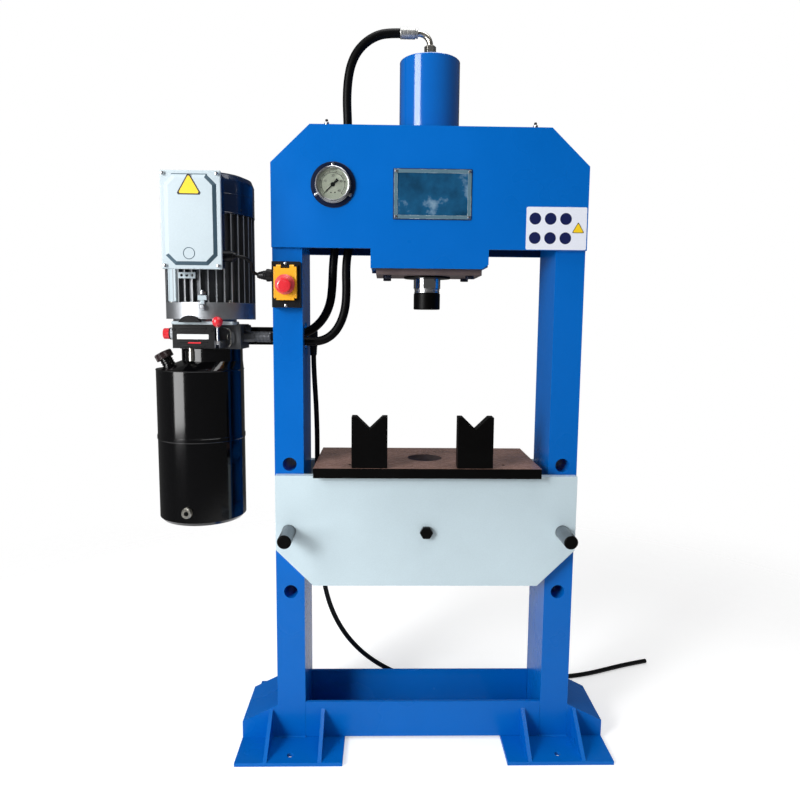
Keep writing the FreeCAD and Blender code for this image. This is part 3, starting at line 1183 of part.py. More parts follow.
def valve():
    """The directional valve on the front of the block, its knob and the release lever."""
    body = box("valve_left", "valve_front", "valve_bottom", "valve_right - valve_left",
               "block_front - valve_front", "valve_top - valve_bottom")
    knob_hole = rod("8.4", "coil_length + 21", "valve_left - coil_length - 1", "coil_y", "coil_z", "x")
    collar = rod("coil_dia", "coil_length", "valve_left", "coil_y", "coil_z", "-x")
    node(cut(fuse(body, collar), knob_hole), "valve_body")
    knob_start = "valve_left - coil_length - 0.3"
    knob = cone("knob_dia + 3", "knob_dia - 2", "knob_length", knob_start, "coil_y", "coil_z", "-x")
    spindle = rod("8", "coil_length + 15", knob_start, "coil_y", "coil_z", "x")
    node(fuse(knob, spindle), "pressure_knob")
    ball = doc.addObject("Part::Sphere", unique("Ball"))
    bind(ball, Radius="ball_dia / 2")
    place(ball, "lever_x", "lever_y", "lever_top")
    stick = rod("lever_dia", "lever_top - lever_bottom - 5", "lever_x", "lever_y", "lever_bottom + 5")
    barrel = rod("9", "7.4", "lever_x - 3.7", "lever_y", "lever_bottom + 5", "x")
    axle = rod("4", "13", "lever_x - 6.5", "lever_y", "lever_bottom + 5", "x")
    node(fuse(ball, stick, barrel, axle), "release_lever")


def power_unit():
    motor()
    motor_end_shields()
    cooling_fan()
    fan_cowl()
    terminal_box()
    bracket()
    manifold()
    pump()
    oil_tank()
    filler_cap()
    valve()


welded_frame()
table()
cylinder()
hoses()
gauge()
name_plate()
panel_screws()
switch_box()
switch_lid()
buttons()
cable_glands()
power_unit()
doc.recompute()

broken = [thing.Label for thing in doc.Objects if {"Invalid", "Error"} & set(thing.State)]
broken += [thing.Label for thing in finished if thing.Shape.isNull() or not thing.Shape.isValid()]
if broken:
    raise SystemExit(f"these pieces failed: {broken}")

os.makedirs("parts", exist_ok=True)
for thing in finished:
    thing.Shape.exportStep(f"parts/{thing.Label}.step")
print(len(finished), "pieces")
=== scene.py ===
import math

import bmesh
import bpy
from mathutils import Matrix, Vector


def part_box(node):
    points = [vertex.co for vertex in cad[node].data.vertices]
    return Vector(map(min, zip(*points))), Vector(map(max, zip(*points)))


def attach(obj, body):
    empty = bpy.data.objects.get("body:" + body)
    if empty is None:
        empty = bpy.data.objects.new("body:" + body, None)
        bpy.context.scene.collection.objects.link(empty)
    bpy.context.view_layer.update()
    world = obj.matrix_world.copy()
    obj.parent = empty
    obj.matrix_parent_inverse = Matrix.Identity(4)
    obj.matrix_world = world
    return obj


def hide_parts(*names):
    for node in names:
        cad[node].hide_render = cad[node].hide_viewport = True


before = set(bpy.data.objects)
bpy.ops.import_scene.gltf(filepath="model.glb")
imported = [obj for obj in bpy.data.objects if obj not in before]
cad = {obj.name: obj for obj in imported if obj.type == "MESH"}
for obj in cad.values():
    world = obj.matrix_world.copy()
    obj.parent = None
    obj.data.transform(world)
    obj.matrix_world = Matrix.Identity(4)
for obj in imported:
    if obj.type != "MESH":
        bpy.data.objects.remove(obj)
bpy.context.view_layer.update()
bpy.ops.object.select_all(action="DESELECT")
bpy.context.scene.view_settings.view_transform = "Standard"
print("frame loaded:", len(cad), "nodes")

# camera

cameraSizes = {"place": (-0.11099, -1.84668, 1.15443), "turn": -1.277, "tilt": 83.329, "roll": 0.525,
               "lens": 30.47}


def setCamera():
    bpy.ops.object.camera_add(location=cameraSizes["place"])
    camera = bpy.context.object
    camera.name = "pressCamera"
    camera.data.lens = cameraSizes["lens"]
    camera.data.clip_end = 60
    turn = Matrix.Rotation(math.radians(cameraSizes["turn"]), 4, "Z")
    tilt = Matrix.Rotation(math.radians(cameraSizes["tilt"]), 4, "X")
    roll = Matrix.Rotation(math.radians(cameraSizes["roll"]), 4, "Z")
    camera.matrix_world = Matrix.Translation(cameraSizes["place"]) @ turn @ tilt @ roll
    bpy.context.scene.camera = camera


setCamera()
print("camera set")


# node groups that several finishes share

def newNode(tree, kind, place=(0, 0), settings=None, values=None):
    node = tree.nodes.new(kind)
    node.location = place
    for name, value in (settings or {}).items():
        setattr(node, name, value)
    for name, value in (values or {}).items():
        node.inputs[name].default_value = value
    return node


def newGroup(name, inputs, outputs):
    group = bpy.data.node_groups.new(name, "ShaderNodeTree")
    for title, value in inputs.items():
        kind = "NodeSocketColor" if isinstance(value, tuple) else "NodeSocketFloat"
        socket = group.interface.new_socket(name=title, in_out="INPUT", socket_type=kind)
        socket.default_value = value
    for title, kind in outputs.items():
        group.interface.new_socket(name=title, in_out="OUTPUT", socket_type=kind)
    return group, newNode(group, "NodeGroupInput", (-900, 0)), newNode(group, "NodeGroupOutput", (900, 0))


def makeToneGroup():
    # slow change of tone over a surface, with fine specks in it
    group, start, end = newGroup(
        "toneChange",
        {"Colour": (0.5, 0.5, 0.5, 1.0), "Scale": 3.0, "Change": 0.1, "Specks": 0.05},
        {"Colour": "NodeSocketColor", "Mask": "NodeSocketFloat"},
    )
    links = group.links
    place = newNode(group, "ShaderNodeTexCoord", (-900, -300))
    broad = newNode(group, "ShaderNodeTexNoise", (-600, -100), values={"Detail": 4.0, "Roughness": 0.6})
    fine = newNode(group, "ShaderNodeTexNoise", (-600, -400), values={"Scale": 420.0, "Detail": 2.0})
    links.new(place.outputs["Object"], broad.inputs["Vector"])
    links.new(place.outputs["Object"], fine.inputs["Vector"])
    links.new(start.outputs["Scale"], broad.inputs["Scale"])
    shade = newNode(group, "ShaderNodeMapRange", (-350, -100),
                    values={"From Min": 0.3, "From Max": 0.7, "To Min": -1.0})
    grit = newNode(group, "ShaderNodeMapRange", (-350, -400),
                   values={"From Min": 0.3, "From Max": 0.7, "To Min": -1.0})
    links.new(broad.outputs["Fac"], shade.inputs["Value"])
    links.new(fine.outputs["Fac"], grit.inputs["Value"])
    shadeShare = newNode(group, "ShaderNodeMath", (-150, -100), {"operation": "MULTIPLY"})
    gritShare = newNode(group, "ShaderNodeMath", (-150, -400), {"operation": "MULTIPLY"})
    links.new(shade.outputs["Result"], shadeShare.inputs[0])
    links.new(start.outputs["Change"], shadeShare.inputs[1])
    links.new(grit.outputs["Result"], gritShare.inputs[0])
    links.new(start.outputs["Specks"], gritShare.inputs[1])
    both = newNode(group, "ShaderNodeMath", (50, -200), {"operation": "ADD"})
    links.new(shadeShare.outputs[0], both.inputs[0])
    links.new(gritShare.outputs[0], both.inputs[1])
    level = newNode(group, "ShaderNodeMath", (200, -200), {"operation": "ADD"}, {1: 1.0})
    links.new(both.outputs[0], level.inputs[0])
    tint = newNode(group, "ShaderNodeHueSaturation", (450, 0))
    links.new(start.outputs["Colour"], tint.inputs["Color"])
    links.new(level.outputs[0], tint.inputs["Value"])
    links.new(tint.outputs["Color"], end.inputs["Colour"])
    links.new(broad.outputs["Fac"], end.inputs["Mask"])
    return group


def makeEdgeGroup():
    # 0 on flats and 1 along sharp edges, broken up in patches; on enamel it carries a painted highlight, on
    # plastic a rubbed edge
    group, start, end = newGroup(
        "rubAndHighlightEdges", {"Width": 0.002, "Breakup": 60.0, "Amount": 1.0}, {"Mask": "NodeSocketFloat"}
    )
    links = group.links
    place = newNode(group, "ShaderNodeTexCoord", (-900, -400))
    shape = newNode(group, "ShaderNodeNewGeometry", (-600, 200))
    soft = newNode(group, "ShaderNodeBevel", (-600, 0), {"samples": 4})
    links.new(start.outputs["Width"], soft.inputs["Radius"])
    same = newNode(group, "ShaderNodeVectorMath", (-350, 100), {"operation": "DOT_PRODUCT"})
    links.new(shape.outputs["Normal"], same.inputs[0])
    links.new(soft.outputs["Normal"], same.inputs[1])
    bend = newNode(group, "ShaderNodeMapRange", (-150, 100), values={"From Min": 0.995, "From Max": 0.8})
    links.new(same.outputs["Value"], bend.inputs["Value"])
    noise = newNode(group, "ShaderNodeTexNoise", (-600, -300), values={"Detail": 5.0, "Roughness": 0.7})
    links.new(place.outputs["Object"], noise.inputs["Vector"])
    links.new(start.outputs["Breakup"], noise.inputs["Scale"])
    patch = newNode(group, "ShaderNodeMapRange", (-350, -300), values={"From Min": 0.47, "From Max": 0.6})
    links.new(noise.outputs["Fac"], patch.inputs["Value"])
    cut = newNode(group, "ShaderNodeMath", (100, 0), {"operation": "MULTIPLY"})
    links.new(bend.outputs["Result"], cut.inputs[0])
    links.new(patch.outputs["Result"], cut.inputs[1])
    share = newNode(group, "ShaderNodeMath", (300, 0), {"operation": "MULTIPLY"})
    links.new(cut.outputs[0], share.inputs[0])
    links.new(start.outputs["Amount"], share.inputs[1])
    links.new(share.outputs[0], end.inputs["Mask"])
    return group


def makeReliefGroup():
    # two sizes of unevenness as one normal: long waves and short grain
    group, start, end = newGroup(
        "surfaceRelief",
        {"Wave Scale": 40.0, "Wave Height": 0.0002, "Grain Scale": 600.0, "Grain Height": 0.00005},
        {"Normal": "NodeSocketVector", "Grain": "NodeSocketFloat"},
    )
    links = group.links
    place = newNode(group, "ShaderNodeTexCoord", (-900, -300))
    wave = newNode(group, "ShaderNodeTexNoise", (-600, 100), values={"Detail": 3.0})
    grain = newNode(group, "ShaderNodeTexNoise", (-600, -200), values={"Detail": 3.0, "Roughness": 0.65})
    for noise, title in ((wave, "Wave Scale"), (grain, "Grain Scale")):
        links.new(place.outputs["Object"], noise.inputs["Vector"])
        links.new(start.outputs[title], noise.inputs["Scale"])
    first = newNode(group, "ShaderNodeBump", (-200, 100), values={"Strength": 1.0})
    second = newNode(group, "ShaderNodeBump", (100, 0), values={"Strength": 1.0})
    links.new(wave.outputs["Fac"], first.inputs["Height"])
    links.new(start.outputs["Wave Height"], first.inputs["Distance"])
    links.new(grain.outputs["Fac"], second.inputs["Height"])
    links.new(start.outputs["Grain Height"], second.inputs["Distance"])
    links.new(first.outputs["Normal"], second.inputs["Normal"])
    links.new(second.outputs["Normal"], end.inputs["Normal"])
    links.new(grain.outputs["Fac"], end.inputs["Grain"])
    return group


def makeBrushGroup():
    # fine lines left by turning or grinding, drawn out along one axis by the stretch
    group, start, end = newGroup(
        "brushLines",
        {"Stretch X": 1.0, "Stretch Y": 1.0, "Stretch Z": 1.0, "Scale": 900.0, "Height": 0.00003},
        {"Normal": "NodeSocketVector", "Lines": "NodeSocketFloat"},
    )
    links = group.links
    place = newNode(group, "ShaderNodeTexCoord", (-900, -300))
    stretch = newNode(group, "ShaderNodeCombineXYZ", (-700, 0))
    for axis in "XYZ":
        links.new(start.outputs["Stretch " + axis], stretch.inputs[axis])
    drawn = newNode(group, "ShaderNodeVectorMath", (-500, 0), {"operation": "MULTIPLY"})
    links.new(place.outputs["Object"], drawn.inputs[0])
    links.new(stretch.outputs["Vector"], drawn.inputs[1])
    noise = newNode(group, "ShaderNodeTexNoise", (-300, 0), values={"Detail": 4.0, "Roughness": 0.6})
    links.new(drawn.outputs["Vector"], noise.inputs["Vector"])
    links.new(start.outputs["Scale"], noise.inputs["Scale"])
    bump = newNode(group, "ShaderNodeBump", (100, 0), values={"Strength": 1.0})
    links.new(noise.outputs["Fac"], bump.inputs["Height"])
    links.new(start.outputs["Height"], bump.inputs["Distance"])
    links.new(bump.outputs["Normal"], end.inputs["Normal"])
    links.new(noise.outputs["Fac"], end.inputs["Lines"])
    return group


toneGroup = makeToneGroup()
edgeGroup = makeEdgeGroup()
reliefGroup = makeReliefGroup()
brushGroup = makeBrushGroup()
print("node groups made")


# finishes

def startMaterial(name, **shader):
    material = bpy.data.materials.new(name)
    material.use_nodes = True
    surface = material.node_tree.nodes["Principled BSDF"]
    surface.location = (900, 0)
    material.node_tree.nodes["Material Output"].location = (1200, 0)
    for title, value in shader.items():
        surface.inputs[title.replace("_", " ")].default_value = value
    return material, material.node_tree, surface


def placeGroup(tree, group, place, **values):
    node = newNode(tree, "ShaderNodeGroup", place, {"node_tree": group})
    for title, value in values.items():
        node.inputs[title.replace("_", " ")].default_value = value
    return node


def roughnessFrom(tree, source, surface, low, high):
    spread = newNode(tree, "ShaderNodeMapRange", (600, -300),
                     values={"From Min": 0.3, "From Max": 0.7, "To Min": low, "To Max": high})
    tree.links.new(source, spread.inputs["Value"])
    tree.links.new(spread.outputs["Result"], surface.inputs["Roughness"])


def mixColours(tree, place, share, first, second):
    # first and second are colours or sockets
    mix = newNode(tree, "ShaderNodeMix", place, {"data_type": "RGBA"})
    for socket, value in ((mix.inputs[6], first), (mix.inputs[7], second)):
        if isinstance(value, tuple):
            socket.default_value = value
        else:
            tree.links.new(value, socket)
    tree.links.new(share, mix.inputs[0])
    return mix.outputs[2]


def makePaint(name, colour, edgeColour, low=0.22, high=0.34, coat=0.35, wave=0.00025, change=0.06, highlightShare=0.5,
              width=0.0022, scale=2.2, specular=0.4):
    # sprayed enamel: orange peel, a thin clear coat and lighter edges, which are a painted highlight along the
    # edges
    material, tree, surface = startMaterial(name, Coat_Weight=coat, Coat_Roughness=0.08,
                                            Specular_IOR_Level=specular)
    tone = placeGroup(tree, toneGroup, (-600, 200), Colour=colour, Scale=scale, Change=change, Specks=0.025)
    edge = placeGroup(tree, edgeGroup, (-600, -100), Width=width, Breakup=45.0, Amount=highlightShare)
    relief = placeGroup(tree, reliefGroup, (-600, -400), Wave_Scale=85.0, Wave_Height=wave, Grain_Scale=900.0,
                        Grain_Height=0.00002)
    base = mixColours(tree, (200, 200), edge.outputs["Mask"], tone.outputs["Colour"], edgeColour)
    tree.links.new(base, surface.inputs["Base Color"])
    roughnessFrom(tree, tone.outputs["Mask"], surface, low, high)
    tree.links.new(relief.outputs["Normal"], surface.inputs["Normal"])
    return material


def makeMetal(name, colour, low, high, stretch=(1.0, 1.0, 1.0), brush=0.00002, scale=900.0, change=0.08,
              metallic=1.0, stainAndReflection=None, specular=0.5):
    # machined or polished metal with fine lines and, if given, a second colour in patches: a stain on the zinc,
    # a painted reflection on the plate field
    material, tree, surface = startMaterial(name, Metallic=metallic, Specular_IOR_Level=specular)
    tone = placeGroup(tree, toneGroup, (-600, 200), Colour=colour, Scale=14.0, Change=change, Specks=0.03)
    lines = placeGroup(tree, brushGroup, (-600, -200), Scale=scale, Height=brush)
    for axis, value in zip("XYZ", stretch):
        lines.inputs["Stretch " + axis].default_value = value
    base = tone.outputs["Colour"]
    if stainAndReflection:
        patch = newNode(tree, "ShaderNodeMapRange", (-200, 400), values={"From Min": 0.52, "From Max": 0.75})
        tree.links.new(tone.outputs["Mask"], patch.inputs["Value"])
        base = mixColours(tree, (200, 200), patch.outputs["Result"], base, stainAndReflection)
    tree.links.new(base, surface.inputs["Base Color"])
    roughnessFrom(tree, lines.outputs["Lines"], surface, low, high)
    tree.links.new(lines.outputs["Normal"], surface.inputs["Normal"])
    return material


def makeMoulded(name, colour, low, high, grain=0.00006, grainScale=700.0, coat=0.0, change=0.04, rubColour=None,
                specular=0.5):
    # moulded plastic or rubber with a fine leathery grain
    material, tree, surface = startMaterial(name, Coat_Weight=coat, Coat_Roughness=0.12,
                                            Specular_IOR_Level=specular)
    tone = placeGroup(tree, toneGroup, (-600, 200), Colour=colour, Scale=9.0, Change=change, Specks=0.04)
    relief = placeGroup(tree, reliefGroup, (-600, -400), Wave_Scale=120.0, Wave_Height=0.00008,
                        Grain_Scale=grainScale, Grain_Height=grain)
    base = tone.outputs["Colour"]
    if rubColour:
        edge = placeGroup(tree, edgeGroup, (-600, -100), Width=0.0012, Breakup=90.0, Amount=0.5)
        base = mixColours(tree, (200, 200), edge.outputs["Mask"], base, rubColour)
    tree.links.new(base, surface.inputs["Base Color"])
    roughnessFrom(tree, relief.outputs["Grain"], surface, low, high)
    tree.links.new(relief.outputs["Normal"], surface.inputs["Normal"])
    return material


def makeGlass(name):
    material, tree, surface = startMaterial(name, Metallic=0.0, Transmission_Weight=1.0, IOR=1.45)
    tone = placeGroup(tree, toneGroup, (-600, 200), Colour=(0.96, 0.99, 0.97, 1.0), Scale=30.0, Change=0.01,
                      Specks=0.0)
    tree.links.new(tone.outputs["Colour"], surface.inputs["Base Color"])
    roughnessFrom(tree, tone.outputs["Mask"], surface, 0.0, 0.02)
    return material


bluePaint = makePaint("blueEnamel", (0.0, 0.127, 0.505, 1.0), (0.01, 0.26, 0.72, 1.0), coat=0.08, specular=0.17)
tablePaint = makePaint("paleTableEnamel", (0.56, 0.68, 0.735, 1.0), (0.75, 0.82, 0.86, 1.0), low=0.3, high=0.42,
                       coat=0.15)
tankPaint = makePaint("blackTankEnamel", (0.0018, 0.0018, 0.0022, 1.0), (0.03, 0.03, 0.032, 1.0), low=0.1,
                      high=0.17, coat=0.45, wave=0.00008, specular=0.35)
silverPaint = makePaint("silverEnamel", (0.5, 0.585, 0.63, 1.0), (0.8, 0.82, 0.84, 1.0), low=0.26, high=0.38,
                        coat=0.2, wave=0.0001, width=0.0012)
# painted shade and reflection: the cowl and the terminal box are silver paint, given a dark navy that stands
# for their shade and the frame's blue reflected in them
navyShadePaint = makePaint("navyPaintedShadeAndReflection", (0.003, 0.014, 0.05, 1.0), (0.015, 0.04, 0.1, 1.0), low=0.18, high=0.28,
                      coat=0.4, width=0.0015)
barrelPaint = makePaint("barrelEnamel", (0.0, 0.12, 0.49, 1.0), (0.01, 0.25, 0.7, 1.0), low=0.1, high=0.15,
                        coat=1.0, wave=0.0001, specular=0.5)
castMetal = makeMetal("castAluminium", (0.5, 0.52, 0.55, 1.0), 0.34, 0.52, brush=0.00008, scale=420.0,
                      change=0.16)
# dark cast metal; on the motor housing its dark tone between the fins is painted shade
darkCastAndShade = makeMetal("darkCastAndPaintedShade", (0.1, 0.105, 0.115, 1.0), 0.3, 0.45, brush=0.00008, scale=420.0,
                     change=0.2, metallic=0.6)
brightSteel = makeMetal("brightSteel", (0.62, 0.63, 0.65, 1.0), 0.2, 0.34, change=0.1)
zincPlate = makeMetal("zincPlate", (0.66, 0.64, 0.58, 1.0), 0.2, 0.34, change=0.14,
                      stainAndReflection=(0.52, 0.46, 0.36, 1.0))
ferruleSteel = makeMetal("ferruleSteel", (0.5, 0.5, 0.49, 1.0), 0.36, 0.5, brush=0.00006, scale=500.0,
                         change=0.15, metallic=0.85)
# painted shade: the fins are the same silver as the shields, painted mid grey for the shade on them
finShadePaint = makePaint("finGreyPaintedShade", (0.31, 0.33, 0.35, 1.0), (0.42, 0.45, 0.48, 1.0), low=0.24, high=0.36,
                     coat=0.3, wave=0.0001, width=0.001)
chromeRod = makeMetal("hardChrome", (0.78, 0.79, 0.81, 1.0), 0.05, 0.1, stretch=(1.0, 1.0, 0.06),
                      brush=0.000004, scale=700.0, change=0.03)
blackSteel = makeMetal("blackedSteel", (0.002, 0.0018, 0.0018, 1.0), 0.3, 0.44, brush=0.00003, scale=500.0,
                       change=0.25, metallic=0.2, specular=0.12)
# machined bed top, its brown tint a painted reflection
bedSteelBrownReflection = makeMetal("bedSteelPaintedBrownReflection", (0.4, 0.235, 0.19, 1.0), 0.2, 0.32, stretch=(0.1, 1.0, 1.0),
                     brush=0.00003, scale=600.0, change=0.2, metallic=0.35, specular=0.6)
pinSteel = makeMetal("pinSteel", (0.17, 0.19, 0.21, 1.0), 0.28, 0.42, stretch=(1.0, 0.1, 1.0), scale=800.0,
                     change=0.2, metallic=0.8)
boltSteel = makeMetal("boltSteel", (0.03, 0.035, 0.06, 1.0), 0.28, 0.42, change=0.2, metallic=0.8)
hoseRubber = makeMoulded("hoseRubber", (0.0012, 0.0012, 0.0015, 1.0), 0.36, 0.5, grain=0.0001, grainScale=520.0,
                         specular=0.13)
cordRubber = makeMoulded("cordRubber", (0.0035, 0.0035, 0.004, 1.0), 0.36, 0.5, specular=0.25)
blackPlastic = makeMoulded("blackPlastic", (0.004, 0.004, 0.005, 1.0), 0.3, 0.44, specular=0.3,
                           rubColour=(0.06, 0.06, 0.065, 1.0))
redCollar = makeMoulded("redCollarPlastic", (0.76, 0.07, 0.08, 1.0), 0.26, 0.36, coat=0.25, grain=0.00002)
redPlastic = makeMoulded("redPlastic", (0.72, 0.022, 0.035, 1.0), 0.24, 0.34, coat=0.25, grain=0.00002)
greenPlastic = makeMoulded("greenPlastic", (0.02, 0.33, 0.08, 1.0), 0.26, 0.36, coat=0.2, grain=0.00002)
yellowPlastic = makeMoulded("yellowPlastic", (0.93, 0.44, 0.018, 1.0), 0.26, 0.36, coat=0.2, grain=0.00002)
gaugeBlack = makeMoulded("gaugeFlangeBlack", (0.003, 0.008, 0.03, 1.0), 0.24, 0.36, coat=0.15, specular=0.25)
dialEnamel = makeMoulded("dialEnamel", (0.62, 0.64, 0.54, 1.0), 0.42, 0.55, grain=0.00001, change=0.03)
clearGlass = makeGlass("clearGlass")
# painted reflections: the plate's blue field has light patches that stand for reflections
plateFieldReflections = makeMetal("plateFieldPaintedReflections", (0.012, 0.11, 0.25, 1.0), 0.14, 0.26, stretch=(0.05, 1.0, 1.0),
                       brush=0.00002, change=0.45, metallic=0.3, stainAndReflection=(0.5, 0.68, 0.78, 1.0))
plateRim = makePaint("plateRimEnamel", (0.1, 0.18, 0.23, 1.0), (0.75, 0.86, 0.9, 1.0), low=0.2, high=0.32,
                     wave=0.0001, width=0.002, highlightShare=0.9)
# bare steel, with a brown tint that is a painted reflection
bareSteelBrownReflection = makeMetal("bareSteelBrownReflection", (0.2, 0.15, 0.145, 1.0), 0.3, 0.45, brush=0.00004, change=0.25,
                       metallic=0.6)
paleVinyl = makeMoulded("paleVinyl", (0.8, 0.83, 0.92, 1.0), 0.3, 0.42, grain=0.00001, coat=0.2, change=0.02)
navyInk = makeMoulded("navyInk", (0.003, 0.008, 0.075, 1.0), 0.34, 0.46, grain=0.00001, change=0.03)
darkInk = makeMoulded("darkInk", (0.012, 0.012, 0.014, 1.0), 0.36, 0.48, grain=0.00001, change=0.03)
yellowInk = makeMoulded("yellowInk", (0.93, 0.62, 0.012, 1.0), 0.32, 0.44, grain=0.00001, change=0.03)
labelWhite = makeMoulded("labelWhite", (0.86, 0.87, 0.88, 1.0), 0.32, 0.44, grain=0.00001, change=0.02)
# painted shade: dark navy for the crown's inside, where shade falls
innerShadePaint = makePaint("innerPaintedShadeNavy", (0.001, 0.012, 0.05, 1.0), (0.01, 0.05, 0.14, 1.0), specular=0.1)
grooveShade = makeMoulded("grooveShade", (0.05, 0.095, 0.13, 1.0), 0.4, 0.52, grain=0.00003, change=0.1)
capPlastic = makeMoulded("brownBlackCap", (0.022, 0.011, 0.012, 1.0), 0.22, 0.34, coat=0.3, grain=0.00004,
                         rubColour=(0.08, 0.06, 0.06, 1.0))
print("finishes made:", len(bpy.data.materials))

finishOf = {
    bluePaint: ["left_column", "right_column", "crown_front_plate", "crown_rear_plate", "crown_tie_bars",
                "crown_seat_plate", "front_base_rail", "rear_base_rail", "left_foot", "right_foot",
                "cylinder_barrel"],
    tablePaint: ["table_front_beam", "table_rear_beam", "table_spacers"],
    tankPaint: ["oil_tank", "power_unit_bracket", "gear_pump"],
    silverPaint: ["terminal_lid", "name_plate"],
    navyShadePaint: ["fan_cowl", "terminal_box"],
    castMetal: ["motor_rotor", "pump_manifold", "valve_body", "motor_end_shields", "motor_housing"],
    brightSteel: ["panel_screws", "hose_ferrules", "drain_plug", "piston", "gauge_case"],
    zincPlate: ["hose_fittings"],
    chromeRod: ["ram_rod"],
    blackSteel: ["left_v_block", "right_v_block", "ram_nose", "lifting_bolts", "rod_gland"],
    bedSteelBrownReflection: ["bed_plate"],
    pinSteel: ["left_pin", "right_pin"],
    boltSteel: ["hex_bolts"],
    hoseRubber: ["piston_seal", "top_hose", "lower_hose"],
    cordRubber: ["motor_cable", "power_cord"],
    blackPlastic: ["cooling_fan", "filler_cap", "switch_box", "cable_glands", "gauge_pointer"],
    redPlastic: ["emergency_button", "stop_button", "pressure_knob", "release_lever"],
    greenPlastic: ["start_button"],
    yellowPlastic: ["switch_lid"],
    dialEnamel: ["gauge_dial"],
    clearGlass: ["gauge_glass"],
}
for material, names in finishOf.items():
    for name in names:
        cad[name].material_slots[0].material = material
print("every node has its finish")


# cords, hoses and cables

def drawCord(name, points, diameter, material):
    curve = bpy.data.curves.new(name, "CURVE")
    curve.dimensions = "3D"
    curve.resolution_u = 10
    curve.bevel_depth = diameter / 2
    curve.bevel_resolution = 7
    curve.use_fill_caps = True
    spline = curve.splines.new("NURBS")
    spline.points.add(len(points) - 1)
    for spot, point in zip(spline.points, points):
        spot.co = (point[0], point[1], point[2], 1.0)
    spline.order_u = 3
    spline.use_endpoint_u = True
    spline.use_smooth = True
    cord = bpy.data.objects.new(name, curve)
    bpy.context.collection.objects.link(cord)
    curve.materials.append(material)
    return cord


topHoseRun = [
    (-0.078, 0.0, 1.892), (-0.108, 0.0, 1.892), (-0.14, 0.0, 1.885), (-0.172, 0.0, 1.865), (-0.196, 0.0, 1.835),
    (-0.21, 0.0, 1.795), (-0.216, 0.0, 1.735), (-0.213, 0.0, 1.665), (-0.212, 0.0, 1.59),
    (-0.22, -0.001, 1.515), (-0.232, -0.002, 1.44), (-0.244, -0.003, 1.37), (-0.252, -0.004, 1.305),
    (-0.254, -0.004, 1.245), (-0.259, -0.005, 1.2), (-0.276, -0.005, 1.16), (-0.306, -0.005, 1.129),
    (-0.344, -0.005, 1.113), (-0.38, -0.005, 1.109), (-0.412, -0.005, 1.109),
]
lowerHoseRun = [
    (-0.1662, 0.0, 1.40815), (-0.1862, 0.0, 1.38815), (-0.203, -0.004, 1.362), (-0.214, -0.009, 1.33),
    (-0.217, -0.016, 1.285), (-0.215, -0.024, 1.235), (-0.217, -0.031, 1.19), (-0.227, -0.037, 1.152),
    (-0.247, -0.042, 1.119), (-0.276, -0.044, 1.1), (-0.312, -0.045, 1.097), (-0.348, -0.045, 1.102),
    (-0.381, -0.045, 1.109), (-0.412, -0.045, 1.109),
]
motorCableRun = [
    (-0.475, -0.162, 1.306), (-0.463, -0.162, 1.306), (-0.452, -0.158, 1.3025), (-0.4445, -0.151, 1.296),
    (-0.4415, -0.142, 1.288), (-0.4445, -0.133, 1.2795), (-0.442, -0.124, 1.272), (-0.4345, -0.117, 1.267),
    (-0.424, -0.113, 1.265), (-0.412, -0.113, 1.265),
]
powerCordRun = [
    (-0.311, 0.048, 1.09), (-0.311, 0.048, 1.045), (-0.309, 0.051, 0.99), (-0.305, 0.055, 0.915),
    (-0.303, 0.06, 0.83), (-0.304, 0.065, 0.745), (-0.304, 0.07, 0.655), (-0.302, 0.074, 0.56),
    (-0.297, 0.079, 0.465), (-0.287, 0.087, 0.375), (-0.267, 0.1, 0.292), (-0.232, 0.117, 0.214),
    (-0.184, 0.135, 0.147), (-0.13, 0.154, 0.095), (-0.074, 0.172, 0.055), (-0.018, 0.189, 0.025),
    (0.038, 0.204, 0.009), (0.102, 0.213, 0.0073), (0.176, 0.2195, 0.007), (0.258, 0.222, 0.007),
    (0.346, 0.2225, 0.007), (0.43, 0.224, 0.007), (0.506, 0.233, 0.007), (0.578, 0.254, 0.007),
    (0.65, 0.284, 0.007), (0.718, 0.311, 0.007), (0.785, 0.332, 0.007),
]
cords = {
    "top_hose": {"run": topHoseRun, "length": 0.973, "diameter": 0.023, "end": "object", "lay": "hanging",
                 "piece": "topPressureHose"},
    "lower_hose": {"run": lowerHoseRun, "length": 0.484, "diameter": 0.023, "end": "object", "lay": "hanging",
                   "piece": "lowerPressureHose"},
    "motor_cable": {"run": motorCableRun, "length": 0.107, "diameter": 0.008, "end": "object", "lay": "hanging",
                    "piece": "motorCable"},
    "power_cord": {"run": powerCordRun, "length": 2.013, "diameter": 0.014, "end": "bare", "lay": "loose",
                   "piece": "mainsLead"},
}
for node, facts in cords.items():
    rubber = hoseRubber if "hose" in node else cordRubber
    piece = drawCord(facts["piece"], facts["run"], facts["diameter"], rubber)
    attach(piece, "frame")
    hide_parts(node)
print("cords laid:", len(cords))


# modelling helpers

hair = 0.0002  # how far a face may be from a level and still be on it
facing = 0.9  # the share of a normal from which a face counts as facing that way


def deselectAll():
    bpy.ops.object.select_all(action="DESELECT")


def makeActive(piece):
    deselectAll()
    piece.select_set(True)
    bpy.context.view_layer.objects.active = piece


def applyPlace(piece):
    makeActive(piece)
    bpy.ops.object.transform_apply(location=True, rotation=True, scale=True)


def useModifier(piece, kind, **settings):
    makeActive(piece)
    modifier = piece.modifiers.new(kind.lower(), kind)
    for name, value in settings.items():
        setattr(modifier, name, value)
    bpy.ops.object.modifier_apply(modifier=modifier.name)


def bevelEdges(piece, width, segments=2, angle=35.0):
    useModifier(piece, "BEVEL", width=width, segments=segments, limit_method="ANGLE",
                angle_limit=math.radians(angle))


def openEdit(piece, mode="FACE"):
    makeActive(piece)
    bpy.ops.object.mode_set(mode="EDIT")
    bpy.ops.mesh.select_mode(type=mode)
    bpy.ops.mesh.select_all(action="DESELECT")


def closeEdit():
    bpy.ops.object.mode_set(mode="OBJECT")


